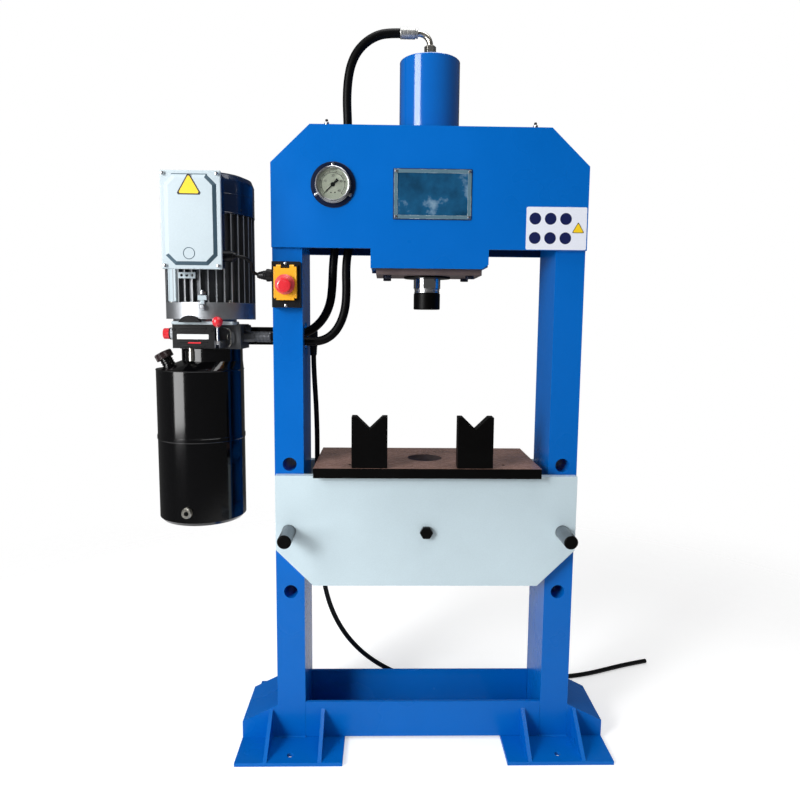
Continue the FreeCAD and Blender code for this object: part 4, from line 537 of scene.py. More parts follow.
def pickFaces(piece, test):
    shape = bmesh.from_edit_mesh(piece.data)
    for face in shape.faces:
        face.select_set(bool(test(face.calc_center_median(), face.normal)))
    bmesh.update_edit_mesh(piece.data)


def mergeClose(piece, distance=0.00001):
    openEdit(piece, "VERT")
    bpy.ops.mesh.select_all(action="SELECT")
    bpy.ops.mesh.remove_doubles(threshold=distance)
    bpy.ops.mesh.normals_make_consistent(inside=False)
    closeEdit()


def smoothByAngle(piece, angle=32.0):
    makeActive(piece)
    bpy.ops.object.shade_smooth_by_angle(angle=math.radians(angle))


def joinAll(pieces):
    deselectAll()
    for piece in pieces:
        piece.select_set(True)
    bpy.context.view_layer.objects.active = pieces[0]
    if len(pieces) > 1:
        bpy.ops.object.join()
    return bpy.context.view_layer.objects.active


def finishPiece(piece, name, material, body="frame", stands=(), angle=32.0):
    applyPlace(piece)
    piece.name = name
    piece.data.name = name
    if material:
        piece.data.materials.clear()
        piece.data.materials.append(material)
    smoothByAngle(piece, angle)
    useModifier(piece, "WEIGHTED_NORMAL", keep_sharp=True, weight=50)
    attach(piece, body)
    if stands:
        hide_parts(*stands)
    deselectAll()
    return piece


def addBlock(low, high):
    centre = [(a + b) / 2 for a, b in zip(low, high)]
    bpy.ops.mesh.primitive_cube_add(size=1, location=centre)
    piece = bpy.context.object
    piece.scale = [b - a for a, b in zip(low, high)]
    applyPlace(piece)
    return piece


axisTurns = {"x": (0, math.pi / 2, 0), "-x": (0, -math.pi / 2, 0), "y": (-math.pi / 2, 0, 0),
             "-y": (math.pi / 2, 0, 0), "z": (0, 0, 0), "-z": (math.pi, 0, 0)}


def addRod(place, radius, length, axis="z", sides=32):
    # a cylinder that starts at place and runs along the axis
    bpy.ops.mesh.primitive_cylinder_add(vertices=sides, radius=radius, depth=length,
                                        location=(0, 0, length / 2))
    piece = bpy.context.object
    applyPlace(piece)
    piece.rotation_euler = axisTurns[axis]
    piece.location = place
    applyPlace(piece)
    return piece


def addTurned(outline, place, axis="z", sides=48, closed=False, turn=None):
    # a lathe shape: outline pairs are radius and height along the axis
    mesh = bpy.data.meshes.new("turned")
    corners = [(radius, 0.0, height) for radius, height in outline]
    lines = [(i, i + 1) for i in range(len(corners) - 1)]
    if closed:
        lines.append((len(corners) - 1, 0))
    mesh.from_pydata(corners, lines, [])
    piece = bpy.data.objects.new("turned", mesh)
    bpy.context.collection.objects.link(piece)
    openEdit(piece, "VERT")
    bpy.ops.mesh.select_all(action="SELECT")
    bpy.ops.mesh.spin(steps=sides, angle=2 * math.pi, center=(0, 0, 0), axis=(0, 0, 1))
    bpy.ops.mesh.select_all(action="SELECT")
    bpy.ops.mesh.remove_doubles(threshold=0.000005)
    bpy.ops.mesh.normals_make_consistent(inside=False)
    closeEdit()
    piece.rotation_euler = turn or axisTurns[axis]
    piece.location = place
    applyPlace(piece)
    return piece


def addPlate(points, place, thickness):
    # a flat outline in X and Z, extruded forwards from place
    mesh = bpy.data.meshes.new("plate")
    mesh.from_pydata([(x, 0.0, z) for x, z in points], [], [list(range(len(points)))])
    piece = bpy.data.objects.new("plate", mesh)
    bpy.context.collection.objects.link(piece)
    openEdit(piece)
    bpy.ops.mesh.select_all(action="SELECT")
    bpy.ops.mesh.extrude_region_move(TRANSFORM_OT_translate={"value": (0, -thickness, 0)})
    bpy.ops.mesh.select_all(action="SELECT")
    bpy.ops.mesh.normals_make_consistent(inside=False)
    closeEdit()
    piece.location = place
    applyPlace(piece)
    return piece


def copyPiece(piece, shift):
    # a copy with its own mesh, moved by shift
    double = piece.copy()
    double.data = piece.data.copy()
    bpy.context.collection.objects.link(double)
    double.location = shift
    applyPlace(double)
    return double


def softCopy(node, width, segments=2, angle=35.0, flatAngle=0.6):
    # the node's own shape, merged and with its sharp edges rounded
    piece = bpy.data.objects.new(node + "Soft", cad[node].data.copy())
    bpy.context.collection.objects.link(piece)
    makeActive(piece)
    if piece.data.has_custom_normals:
        bpy.ops.mesh.customdata_custom_splitnormals_clear()
    openEdit(piece, "VERT")
    bpy.ops.mesh.select_all(action="SELECT")
    bpy.ops.mesh.remove_doubles(threshold=0.00001)
    bpy.ops.mesh.dissolve_limited(angle_limit=math.radians(flatAngle))
    closeEdit()
    if width:
        bevelEdges(piece, width, segments, angle)
    return piece


def paintFaces(piece, material, test):
    # a second finish on the faces that the test picks
    piece.data.materials.append(material)
    index = len(piece.data.materials) - 1
    for face in piece.data.polygons:
        if test(face.center, face.normal):
            face.material_index = index


softened = {
    # node: piece, width of the rounding, slot, finish
    "left_column": ("leftColumn", 0.0025, "blue_paint", bluePaint),
    "right_column": ("rightColumn", 0.0025, "blue_paint", bluePaint),
    "crown_front_plate": ("crownFrontPlate", 0.0012, "blue_paint", bluePaint),
    "crown_rear_plate": ("crownRearPlate", 0.0012, "blue_paint", bluePaint),
    "crown_seat_plate": ("crownSeatPlate", 0.0012, "blue_paint", bluePaint),
    "crown_tie_bars": ("crownTieBars", 0.0008, "blue_paint", bluePaint),
    "front_base_rail": ("frontBottomRail", 0.0015, "blue_paint", bluePaint),
    "rear_base_rail": ("rearBottomRail", 0.0015, "blue_paint", bluePaint),
    "left_foot": ("leftFoot", 0.0012, "blue_paint", bluePaint),
    "right_foot": ("rightFoot", 0.0012, "blue_paint", bluePaint),
    "table_front_beam": ("tableFrontBeam", 0.0015, "table_paint", tablePaint),
    "table_rear_beam": ("tableRearBeam", 0.0015, "table_paint", tablePaint),
    "table_spacers": ("tableSpacers", 0.001, "table_paint", tablePaint),
    "bed_plate": ("bedPlate", 0.0012, "black_steel", bedSteelBrownReflection),
    "left_v_block": ("leftVBlock", 0.0012, "black_steel", blackSteel),
    "right_v_block": ("rightVBlock", 0.0012, "black_steel", blackSteel),
    "left_pin": ("leftTablePin", 0.0008, "black_steel", pinSteel),
    "right_pin": ("rightTablePin", 0.0008, "black_steel", pinSteel),
    "lifting_bolts": ("liftingBolts", 0.0008, "black_steel", blackSteel),
    "hex_bolts": ("hexBolts", 0.0007, "bright_steel", boltSteel),
    "power_unit_bracket": ("unitBracket", 0.001, "black_paint", tankPaint),
    "terminal_box": ("terminalBox", 0.002, "grey_paint", navyShadePaint),
    "switch_box": ("switchBox", 0.001, "black_plastic", blackPlastic),
    "start_button": ("startKey", 0.0006, "green_plastic", greenPlastic),
    "stop_button": ("stopKey", 0.0006, "red_plastic", redPlastic),
}
bodyOf = {"left_pin": "left_table_pin", "right_pin": "right_table_pin", "start_button": "start_key",
          "stop_button": "stop_key"}
for node, (name, width, slot, finish) in softened.items():
    piece = softCopy(node, width)
    finishPiece(piece, name, finish, bodyOf.get(node, "frame"), [node])


secondSizes = {"pinEnd": 0.0028, "holeReach": 0.1, "upright": 0.3}


def paintSecondFinishes():
    # the sides and the hole of the bed, the near ends of the pins and painted shade on the inner face of the
    # rear crown plate
    bed = bpy.data.objects["bedPlate"]
    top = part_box("bed_plate")[1][2] - hair
    paintFaces(bed, blackSteel, lambda spot, normal: spot.z < top)
    paintFaces(bed, bareSteelBrownReflection, lambda spot, normal: abs(normal.z) < secondSizes["upright"]
               and math.hypot(spot.x, spot.y) < secondSizes["holeReach"])
    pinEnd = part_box("left_pin")[0][1] + secondSizes["pinEnd"]
    for name in ("leftTablePin", "rightTablePin"):
        paintFaces(bpy.data.objects[name], blackSteel, lambda spot, normal: spot.y < pinEnd)
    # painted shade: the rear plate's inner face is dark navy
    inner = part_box("crown_rear_plate")[0][1] + hair
    paintFaces(bpy.data.objects["crownRearPlate"], innerShadePaint,
               lambda spot, normal: normal.y < -facing and spot.y < inner)


paintSecondFinishes()
print("frame and table softened:", len(softened))


# more helpers for the detailed pieces

def addStar(place, tip, root, depth, teeth, axis="z", chamfer=0.0):
    # a knurled disc or a toothed ring that starts at place and runs along the axis
    steps = []
    for count in range(teeth):
        for share, radius in ((0.0, root), (0.3, tip), (0.7, tip)):
            angle = 2 * math.pi * (count + share) / teeth
            steps.append((radius * math.cos(angle), radius * math.sin(angle), 0.0))
    mesh = bpy.data.meshes.new("star")
    mesh.from_pydata(steps, [], [list(range(len(steps)))])
    piece = bpy.data.objects.new("star", mesh)
    bpy.context.collection.objects.link(piece)
    openEdit(piece)
    bpy.ops.mesh.select_all(action="SELECT")
    bpy.ops.mesh.extrude_region_move(TRANSFORM_OT_translate={"value": (0, 0, depth - chamfer)})
    if chamfer:
        bpy.ops.mesh.extrude_region_move(TRANSFORM_OT_translate={"value": (0, 0, chamfer)})
        share = 1 - chamfer / tip
        bpy.ops.transform.resize(value=(share, share, 1), center_override=(0, 0, 0))
    bpy.ops.mesh.select_all(action="SELECT")
    bpy.ops.mesh.normals_make_consistent(inside=False)
    closeEdit()
    piece.rotation_euler = axisTurns[axis]
    piece.location = place
    applyPlace(piece)
    return piece


def addRun(points, radius, waist=1.0, sides=3, smooth=False):
    # a round bar along the points; a waist below 1 pinches every second point, as in a weld bead
    curve = bpy.data.curves.new("run", "CURVE")
    curve.dimensions = "3D"
    curve.bevel_depth = radius
    curve.bevel_resolution = sides
    curve.resolution_u = 6
    curve.use_fill_caps = True
    spline = curve.splines.new("NURBS" if smooth else "POLY")
    spline.points.add(len(points) - 1)
    for count, (spot, point) in enumerate(zip(spline.points, points)):
        spot.co = (point[0], point[1], point[2], 1.0)
        spot.radius = waist if count % 2 else 1.0
    if smooth:
        spline.order_u = 3
        spline.use_endpoint_u = True
    piece = bpy.data.objects.new("run", curve)
    bpy.context.collection.objects.link(piece)
    makeActive(piece)
    bpy.ops.object.convert(target="MESH")
    return bpy.context.object


beadWaist = 0.8


def addBead(corners, radius, pitch=0.0028):
    # a weld bead along straight runs, with the ripple of its passes
    points = []
    for start, end in zip(corners, corners[1:]):
        first, last = Vector(start), Vector(end)
        steps = max(2, 2 * round((last - first).length / pitch / 2))
        points += [first.lerp(last, step / steps) for step in range(steps)]
    points.append(Vector(corners[-1]))
    return addRun(points, radius, beadWaist, 1)


def ringPoints(centre, radius, z, start=0.0, end=360.0, pitch=0.003):
    steps = 2 * round(math.radians(end - start) * radius / pitch / 2)
    points = []
    for step in range(steps + 1):
        angle = math.radians(start + (end - start) * step / steps)
        points.append((centre[0] + radius * math.cos(angle), centre[1] + radius * math.sin(angle), z))
    return points


def cutAway(piece, tool):
    makeActive(piece)
    modifier = piece.modifiers.new("cut", "BOOLEAN")
    modifier.operation = "DIFFERENCE"
    modifier.solver = "EXACT"
    modifier.object = tool
    bpy.ops.object.modifier_apply(modifier=modifier.name)
    bpy.data.objects.remove(tool, do_unlink=True)


def turnPiece(piece, angle, axis, centre):
    # turns a piece about a line through centre
    turn = Matrix.Rotation(math.radians(angle), 4, axis)
    about = Matrix.Translation(centre) @ turn @ Matrix.Translation(-Vector(centre))
    piece.matrix_world = about @ piece.matrix_world
    applyPlace(piece)
    return piece


def middle(node):
    low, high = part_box(node)
    return [(a + b) / 2 for a, b in zip(low, high)]


# gauge on the crown

gaugeSizes = {
    "face": -0.102, "sides": 72, "flange": 0.056, "flangeThick": 0.004, "bezel": 0.044, "front": 0.016,
    "window": 0.041, "lip": 0.0385, "dial": 0.005, "well": 0.0035, "body": 0.04, "bodyDeep": 0.034,
    "stem": 0.007, "stemEnd": 0.046, "ticks": 46, "start": 225.0, "sweep": 270.0, "tickReach": 0.0338,
    "major": 5, "longTick": (0.0052, 0.0012), "shortTick": (0.0028, 0.0006), "tickDeep": 2.5,
    "arc": 0.0288, "arcSteps": 60,
    "arcThick": 0.0005, "ink": 0.0001, "dot": (0.0017, 0.0005), "dotSide": 0.005, "dotDrop": 0.0195,
    "numbers": (0, 10, 20, 30, 40), "numberReach": 0.0215, "numberHeight": 0.0078, "numberThick": 0.00012,
    "hub": [(0.0, 0.0055), (0.0055, 0.0055), (0.0055, 0.0078), (0.0045, 0.0086), (0.0, 0.009)],
}
gaugeCentre = middle("gauge_case")
gaugePlace = (gaugeCentre[0], gaugeSizes["face"], gaugeCentre[2])


def makeGaugeCase():
    flange, bezel, window, lip = (gaugeSizes[part] for part in ("flange", "bezel", "window", "lip"))
    thick, front, dial, well = (gaugeSizes[part] for part in ("flangeThick", "front", "dial", "well"))
    body, deep, stem, end = (gaugeSizes[part] for part in ("body", "bodyDeep", "stem", "stemEnd"))
    outline = [
        (0.0, -end), (stem, -end), (stem, -deep), (body - 0.0015, -deep), (body, 0.0015 - deep), (body, 0.0),
        (flange - 0.001, 0.0), (flange, 0.001), (flange, thick - 0.0012), (flange - 0.0012, thick),
        (bezel + 0.004, thick + 0.0006), (bezel - 0.001, thick + 0.0006), (window + 0.0005, thick + 0.0006),
        (window + 0.0005, well), (0.0, well),
    ]
    case = addTurned(outline, gaugePlace, "-y", gaugeSizes["sides"])
    finishPiece(case, "gaugeFlange", gaugeBlack, "frame", ["gauge_case"], 28)
    rim = [
        (window, dial), (window, front - 0.00095), (lip, front - 0.00095), (lip, front - 0.0007),
        (lip + 0.0008, front - 0.0002), (lip + 0.002, front), (bezel - 0.0016, front),
        (bezel - 0.0004, front - 0.0008), (bezel, front - 0.0024), (bezel, thick + 0.0016),
        (bezel + 0.0007, thick + 0.001), (bezel + 0.0007, thick), (window + 0.001, thick),
        (window + 0.001, dial),
    ]
    ring = addTurned(rim, gaugePlace, "-y", gaugeSizes["sides"], closed=True)
    finishPiece(ring, "gaugeBezel", brightSteel, "frame", (), 28)


def dialAngle(share):
    # degrees from the right, for a share of the scale
    return gaugeSizes["start"] - gaugeSizes["sweep"] * share


def onDial(reach, share, y):
    angle = math.radians(dialAngle(share))
    return (gaugePlace[0] + reach * math.cos(angle), y, gaugePlace[2] + reach * math.sin(angle))


def makeTick(step, level):
    reach, ink = gaugeSizes["tickReach"], gaugeSizes["ink"]
    length, width = gaugeSizes["shortTick"] if step % gaugeSizes["major"] else gaugeSizes["longTick"]
    x, _, z = gaugePlace
    mark = addBlock((x + reach - length, level - gaugeSizes["tickDeep"] * ink, z - width / 2),
                    (x + reach, level + ink, z + width / 2))
    return turnPiece(mark, -dialAngle(step / (gaugeSizes["ticks"] - 1)), "Y", gaugePlace)


def makeNumber(value, place):
    bpy.ops.object.text_add(location=(0, 0, 0))
    figure = bpy.context.object
    figure.data.body = str(value)
    figure.data.align_x = "CENTER"
    figure.data.align_y = "CENTER"
    figure.data.size = gaugeSizes["numberHeight"]
    figure.data.extrude = gaugeSizes["numberThick"]
    makeActive(figure)
    bpy.ops.object.convert(target="MESH")
    figure = bpy.context.object
    figure.rotation_euler = (math.pi / 2, 0, 0)
    figure.location = place
    applyPlace(figure)
    return figure


def makeDial():
    level = gaugeSizes["face"] - gaugeSizes["dial"]
    ink, steps = gaugeSizes["ink"], gaugeSizes["arcSteps"]
    marks = [makeTick(step, level) for step in range(gaugeSizes["ticks"])]
    arc = [onDial(gaugeSizes["arc"], step / steps, level) for step in range(steps + 1)]
    marks.append(addRun(arc, gaugeSizes["arcThick"], 1.0, 1))
    radius, depth = gaugeSizes["dot"]
    for side in (-1, 1):
        place = (gaugePlace[0] + side * gaugeSizes["dotSide"], level + ink,
                 gaugePlace[2] - gaugeSizes["dotDrop"])
        marks.append(addRod(place, radius, depth, "-y", 20))
    last = len(gaugeSizes["numbers"]) - 1
    for count, value in enumerate(gaugeSizes["numbers"]):
        marks.append(makeNumber(value, onDial(gaugeSizes["numberReach"], count / last, level - ink)))
    finishPiece(joinAll(marks), "gaugeMarks", blackPlastic, "frame")
    dial = softCopy("gauge_dial", 0.0)
    finishPiece(dial, "gaugeDial", dialEnamel, "frame", ["gauge_dial"])


def makePointer():
    needle = softCopy("gauge_pointer", 0.0)
    hub = addTurned(gaugeSizes["hub"], gaugePlace, "-y", 28)
    finishPiece(joinAll([needle, hub]), "gaugePointer", blackPlastic, "gauge_needle",
                ["gauge_pointer"])


makeGaugeCase()
makeDial()
makePointer()
print("gauge made")


# flat outlines in X and Z

def roundedOutline(low, high, radius, steps=5):
    points = []
    corners = ((high[0] - radius, high[1] - radius, 0), (low[0] + radius, high[1] - radius, 90),
               (low[0] + radius, low[1] + radius, 180), (high[0] - radius, low[1] + radius, 270))
    for x, z, start in corners:
        for step in range(steps + 1):
            angle = math.radians(start + 90 * step / steps)
            points.append((x + radius * math.cos(angle), z + radius * math.sin(angle)))
    return points


def triangleOutline(x, z, side, cut=0.08):
    # a triangle with its point up and its corners cut
    height = side * math.sqrt(3) / 2
    corners = [(x, z + 2 * height / 3), (x - side / 2, z - height / 3), (x + side / 2, z - height / 3)]
    points = []
    for count in range(3):
        here, before, after = corners[count], corners[count - 1], corners[(count + 1) % 3]
        for other in (before, after):
            points.append((here[0] + (other[0] - here[0]) * cut, here[1] + (other[1] - here[1]) * cut))
    return points


# plate, sticker and studs on the crown

plateSizes = {"border": 0.0092, "paint": 0.8, "round": 0.0011, "outline": 0.0022, "corner": 0.002,
              "backing": 0.0006,
              "step": 0.0005}


def makeNamePlate():
    low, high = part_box("name_plate")
    edge = plateSizes["outline"]
    outline = roundedOutline((low[0] - edge, low[2] - edge), (high[0] + edge, high[2] + edge),
                             plateSizes["corner"], 3)
    backing = addPlate(outline, (0, high[1], 0), plateSizes["backing"])
    finishPiece(backing, "crownPlateBacking", navyInk)
    plate = softCopy("name_plate", plateSizes["round"], 3)
    finishPiece(plate, "crownPlate", plateRim, "frame", ["name_plate"])
    border = plateSizes["border"] * plateSizes["paint"]
    face = low[1] + plateSizes["step"]
    paintFaces(plate, plateFieldReflections, lambda spot, normal: normal.y < -facing and spot.y > face
               and low[0] + border < spot.x < high[0] - border and low[2] + border < spot.z < high[2] - border)


stickerSizes = {
    "low": (0.243, 1.337), "high": (0.397, 1.443), "corner": 0.004, "thick": 0.00035, "ink": 0.00012,
    "discs": (0.0148, 0.00015), "discX": (0.2655, 0.3045, 0.3435), "discZ": (1.414, 1.366),
    "triangle": (0.3755, 1.3885), "side": 0.032, "field": 0.84,
}


def makeSticker():
    face, ink = gaugeSizes["face"], stickerSizes["ink"]
    thick = stickerSizes["thick"]
    sheet = addPlate(roundedOutline(stickerSizes["low"], stickerSizes["high"], stickerSizes["corner"]),
                     (0, face, 0), thick)
    finishPiece(sheet, "crownSticker", paleVinyl)
    radius, depth = stickerSizes["discs"]
    discs = [addRod((x, face - thick, z), radius, depth, "-y", 40)
             for x in stickerSizes["discX"] for z in stickerSizes["discZ"]]
    finishPiece(joinAll(discs), "stickerDiscs", navyInk)
    x, z = stickerSizes["triangle"]
    side = stickerSizes["side"]
    edge = addPlate(triangleOutline(x, z, side), (0, face - thick, 0), ink)
    finishPiece(edge, "stickerTriangleEdge", darkInk)
    field = addPlate(triangleOutline(x, z, side * stickerSizes["field"]), (0, face - thick - ink, 0), ink)
    finishPiece(field, "stickerTriangle", yellowInk)


studSizes = {
    "x": 0.26, "y": -0.096,
    "body": [(0.0, -0.002), (0.0062, -0.002), (0.0062, 0.0045), (0.0056, 0.0052), (0.0, 0.0052)],
    "tip": [(0.0, 0.005), (0.0036, 0.005), (0.0036, 0.011), (0.0026, 0.0125), (0.0, 0.0128)],
}


def makeStuds():
    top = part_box("crown_front_plate")[1][2]
    places = [(side * studSizes["x"], studSizes["y"], top) for side in (-1, 1)]
    studs = [addTurned(studSizes["body"], place, "z", 24) for place in places]
    tips = [addTurned(studSizes["tip"], place, "z", 20) for place in places]
    finishPiece(joinAll(studs), "crownStuds", brightSteel)
    finishPiece(joinAll(tips), "crownStudTips", blackPlastic)


makeNamePlate()
makeSticker()
makeStuds()
print("crown plate, sticker and studs made")


# screws of the gauge, the plate, the switch and the lid

screwSizes = {
    "outline": [(0.0, -0.0035), (0.0022, -0.0035), (0.0022, 0.0), (0.0042, 0.0), (0.0045, 0.0005),
                (0.00432, 0.001305), (0.0036, 0.00232), (0.00225, 0.002784), (0.0, 0.0029)],
    "sides": 24, "slot": 0.0011, "slotFloor": 0.0016, "slotReach": 0.006, "gaugeRing": 0.0495,
    "gaugeAngles": (90, 210, 330), "plateInset": 0.005, "lidInset": 0.008,
    "switch": ((-0.361, -0.125, 1.190), (-0.361, -0.125, 1.294)), "slotStep": 37,
    "turns": {"gauge": 25, "plate": 70, "lid": 40, "switch": 80},
}


def cornerPlaces(node, inset, turn):
    low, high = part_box(node)
    return [(x, low[1], z, turn) for x in (low[0] + inset, high[0] - inset) for z in (low[2] + inset,
                                                                                      high[2] - inset)]


def makeScrews():
    master = addTurned(screwSizes["outline"], (0, 0, 0), "-y", screwSizes["sides"])
    half, wide = screwSizes["slot"] / 2, screwSizes["slotReach"]
    cutAway(master, addBlock((-wide, -wide, -half), (wide, -screwSizes["slotFloor"], half)))
    turns = screwSizes["turns"]
    places = []
    for angle in screwSizes["gaugeAngles"]:
        turn = math.radians(angle)
        places.append((gaugeCentre[0] + screwSizes["gaugeRing"] * math.cos(turn),
                       gaugeSizes["face"] - gaugeSizes["flangeThick"],
                       gaugeCentre[2] + screwSizes["gaugeRing"] * math.sin(turn), turns["gauge"]))
    places += cornerPlaces("name_plate", screwSizes["plateInset"], turns["plate"])
    places += cornerPlaces("terminal_lid", screwSizes["lidInset"], turns["lid"])
    places += [place + (turns["switch"],) for place in screwSizes["switch"]]
    heads = []
    for count, (x, y, z, turn) in enumerate(places):
        double = copyPiece(master, (0, 0, 0))
        turnPiece(double, turn + screwSizes["slotStep"] * count, "Y", (0, 0, 0))
        double.location = (x, y, z)
        applyPlace(double)
        heads.append(double)
    bpy.data.objects.remove(master, do_unlink=True)
    finishPiece(joinAll(heads), "panelScrews", brightSteel, "frame", ["panel_screws"])


makeScrews()
print("screws made")


# switch on the left column

switchSizes = {
    "notch": (0.022, 0.009), "corner": (0.0065, 0.0055), "tab": (0.028, 0.006), "round": 0.0014,
    "through": (0.002, 0.004), "ribPlace": 0.0262, "ribHalf": 0.0012, "ribRise": 0.0007,
    "ribEnds": (0.004, 0.012), "ribSink": 0.001, "tabRise": 0.0008, "tabSink": 0.006, "tabStart": 0.0005,
    "ribRound": 0.0006, "collarRise": 0.0035, "sides": 56,
    "head": [(0.0, 0.0015), (0.007, 0.0015), (0.007, 0.0175), (0.0162, 0.0182), (0.0176, 0.0192),
             (0.0182, 0.0205), (0.0182, 0.0245), (0.0174, 0.0266), (0.0156, 0.0278), (0.0122, 0.0283),
             (0.0116, 0.0279), (0.0104, 0.0279), (0.0098, 0.0283), (0.005, 0.0285), (0.0, 0.0285)],
    "stem": [(0.0, -0.003), (0.0085, -0.003), (0.0085, -0.0022), (0.007, -0.0022), (0.007, 0.002),
             (0.0, 0.002)],
    "collar": [(0.006, 0.0056), (0.0238, 0.0056), (0.0248, 0.0064), (0.0244, 0.0078), (0.0225, 0.0092),
               (0.0205, 0.0104), (0.0198, 0.013), (0.0188, 0.0158), (0.017, 0.0172), (0.006, 0.0176)],
}


def makeSwitch():
    low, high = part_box("switch_lid")
    x = (low[0] + high[0]) / 2
    front, back = low[1] - switchSizes["through"][0], high[1] + switchSizes["through"][1]
    lid = softCopy("switch_lid", 0.0)
    width, depth = switchSizes["notch"]
    cutAway(lid, addBlock((x - width / 2, front, high[2] - depth),
                          (x + width / 2, back, high[2] + switchSizes["through"][0])))
    wide, tall = switchSizes["corner"]
    for side in (low[0], high[0]):
        for end in (low[2], high[2]):
            cutAway(lid, addBlock((side - wide, front, end - tall), (side + wide, back, end + tall)))
    mergeClose(lid)
    bevelEdges(lid, switchSizes["round"], 2, 40)
    half, rise = switchSizes["ribHalf"], switchSizes["ribRise"]
    below, above = switchSizes["ribEnds"]
    ribs = []
    for side in (-1, 1):
        middleX = x + side * switchSizes["ribPlace"]
        ribs.append(addBlock((middleX - half, low[1] - rise, low[2] + below),
                             (middleX + half, low[1] + switchSizes["ribSink"], high[2] - above)))
    width, depth = switchSizes["tab"]
    ribs.append(addBlock((x - width / 2, low[1] - switchSizes["tabRise"], low[2] + switchSizes["tabStart"]),
                         (x + width / 2, low[1] + switchSizes["tabSink"], low[2] + depth)))
    for rib in ribs:
        bevelEdges(rib, switchSizes["ribRound"], 2)
    finishPiece(joinAll([lid] + ribs), "switchCover", yellowPlastic, "switch_cover",
                ["switch_lid"])


def makeStopHead():
    x, _, z = middle("emergency_button")
    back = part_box("switch_lid")[0][1]
    head = addTurned(switchSizes["head"], (x, back, z), "-y", switchSizes["sides"])
    stem = addTurned(switchSizes["stem"], (x, back, z), "-y", 32)
    collar = addTurned(switchSizes["collar"], (x, back, z + switchSizes["collarRise"]), "-y",
                       switchSizes["sides"], closed=True)
    finishPiece(joinAll([head, stem]), "stopHead", redPlastic, "stop_head", ["emergency_button"],
                28)
    finishPiece(collar, "stopCollar", redCollar, "stop_head", (), 28)


makeSwitch()
makeStopHead()
print("switch made")


# lid of the terminal box

lidSizes = {
    "back": -0.195, "rim": -0.2035, "rimRound": 0.0022, "panel": -0.2083, "panelRound": 0.0006,
    "panelDeep": 0.001,
    "insetX": 0.0095, "insetZ": 0.0085, "corner": 0.023, "slope": 0.0095, "grooveEdge": 0.006,
    "grooveDeep": 0.0042, "triangle": 0.060, "field": 0.83, "triangleAside": 0.0018, "triangleDrop": 0.0395,
    "ink": (0.0003, 0.0002), "ring": 0.0132, "ringPitch": 0.0016, "ringAside": 0.005, "ringRise": 0.0365,
    "ringThick": 0.0009, "lineThick": 0.0011, "sunk": 0.0001, "lineDrop": 0.0006, "lineEnds": (-0.004, 0.001),
    "flat": 0.97, "sideways": 0.05,
}


def cutCorners(low, high, corner):
    # an upright rectangle with cut corners
    x0, z0, x1, z1 = low[0], low[1], high[0], high[1]
    return [(x1, z0 + corner), (x1, z1 - corner), (x1 - corner, z1), (x0 + corner, z1),
            (x0, z1 - corner), (x0, z0 + corner), (x0 + corner, z0), (x1 - corner, z0)]


def makeLidPanel(outer):
    front, deep = lidSizes["rim"], lidSizes["panelDeep"]
    panel = addPlate(cutCorners(outer[0], outer[1], lidSizes["corner"]), (0, front + deep, 0), deep)
    openEdit(panel)
    pickFaces(panel, lambda spot, normal: normal.y < -facing and abs(spot.y - front) < hair)
    bpy.ops.mesh.inset(thickness=lidSizes["slope"], depth=0.0)
    bpy.ops.transform.translate(value=(0, lidSizes["panel"] - front, 0))
    closeEdit()
    bevelEdges(panel, lidSizes["panelRound"], 2, 15)
    return panel


def makeLid():
    low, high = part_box("terminal_lid")
    level, face = lidSizes["rim"], lidSizes["panel"]
    rim = addBlock((low[0], level, low[2]), (high[0], lidSizes["back"], high[2]))
    bevelEdges(rim, lidSizes["rimRound"], 3)
    outer = [(low[0] + lidSizes["insetX"], low[2] + lidSizes["insetZ"]),
             (high[0] - lidSizes["insetX"], high[2] - lidSizes["insetZ"])]
    panel = makeLidPanel(outer)
    for part in (rim, panel):
        smoothByAngle(part, 30)
    lid = joinAll([rim, panel])
    finishPiece(lid, "terminalLid", silverPaint, "frame", ["terminal_lid"])
    edge, deep = lidSizes["grooveEdge"], lidSizes["grooveDeep"]
    # painted shade: the groove faces that face right or down are dark, as the raised panel's shadow
    paintFaces(lid, grooveShade, lambda spot, normal: level - deep < spot.y < level - hair
               and low[0] + edge < spot.x < high[0] - edge and low[2] + edge < spot.z < high[2] - edge
               and normal.y > -lidSizes["flat"] and max(normal.x, -normal.z) > lidSizes["sideways"])
    x = (low[0] + high[0]) / 2
    triangleX, triangleZ = x - lidSizes["triangleAside"], high[2] - lidSizes["triangleDrop"]
    under, over = lidSizes["ink"]
    dark = addPlate(triangleOutline(triangleX, triangleZ, lidSizes["triangle"]), (0, face, 0), under)
    finishPiece(dark, "lidTriangleEdge", darkInk)
    field = triangleOutline(triangleX, triangleZ, lidSizes["triangle"] * lidSizes["field"])
    finishPiece(addPlate(field, (0, face - under, 0), over), "lidTriangle", yellowInk)
    # the ring and the line along the panel's top are drawn in the shade colour, as painted shade lines
    ring = ringPoints((x - lidSizes["ringAside"], low[2] + lidSizes["ringRise"]), lidSizes["ring"], 0, 0, 360,
                      lidSizes["ringPitch"])
    sunk = lidSizes["sunk"]
    lines = [addRun([(px, face + sunk, pz) for px, pz, _ in ring], lidSizes["ringThick"], 1.0, 1)]
    top = outer[1][1] - lidSizes["lineDrop"]
    left, right = lidSizes["lineEnds"]
    ends = (outer[0][0] + lidSizes["corner"] + left, outer[1][0] - lidSizes["corner"] + right)
    lines.append(addRun([(end, level - sunk, top) for end in ends], lidSizes["lineThick"], 1.0, 1))
    finishPiece(joinAll(lines), "lidLines", grooveShade)


makeLid()
print("terminal lid made")


# motor

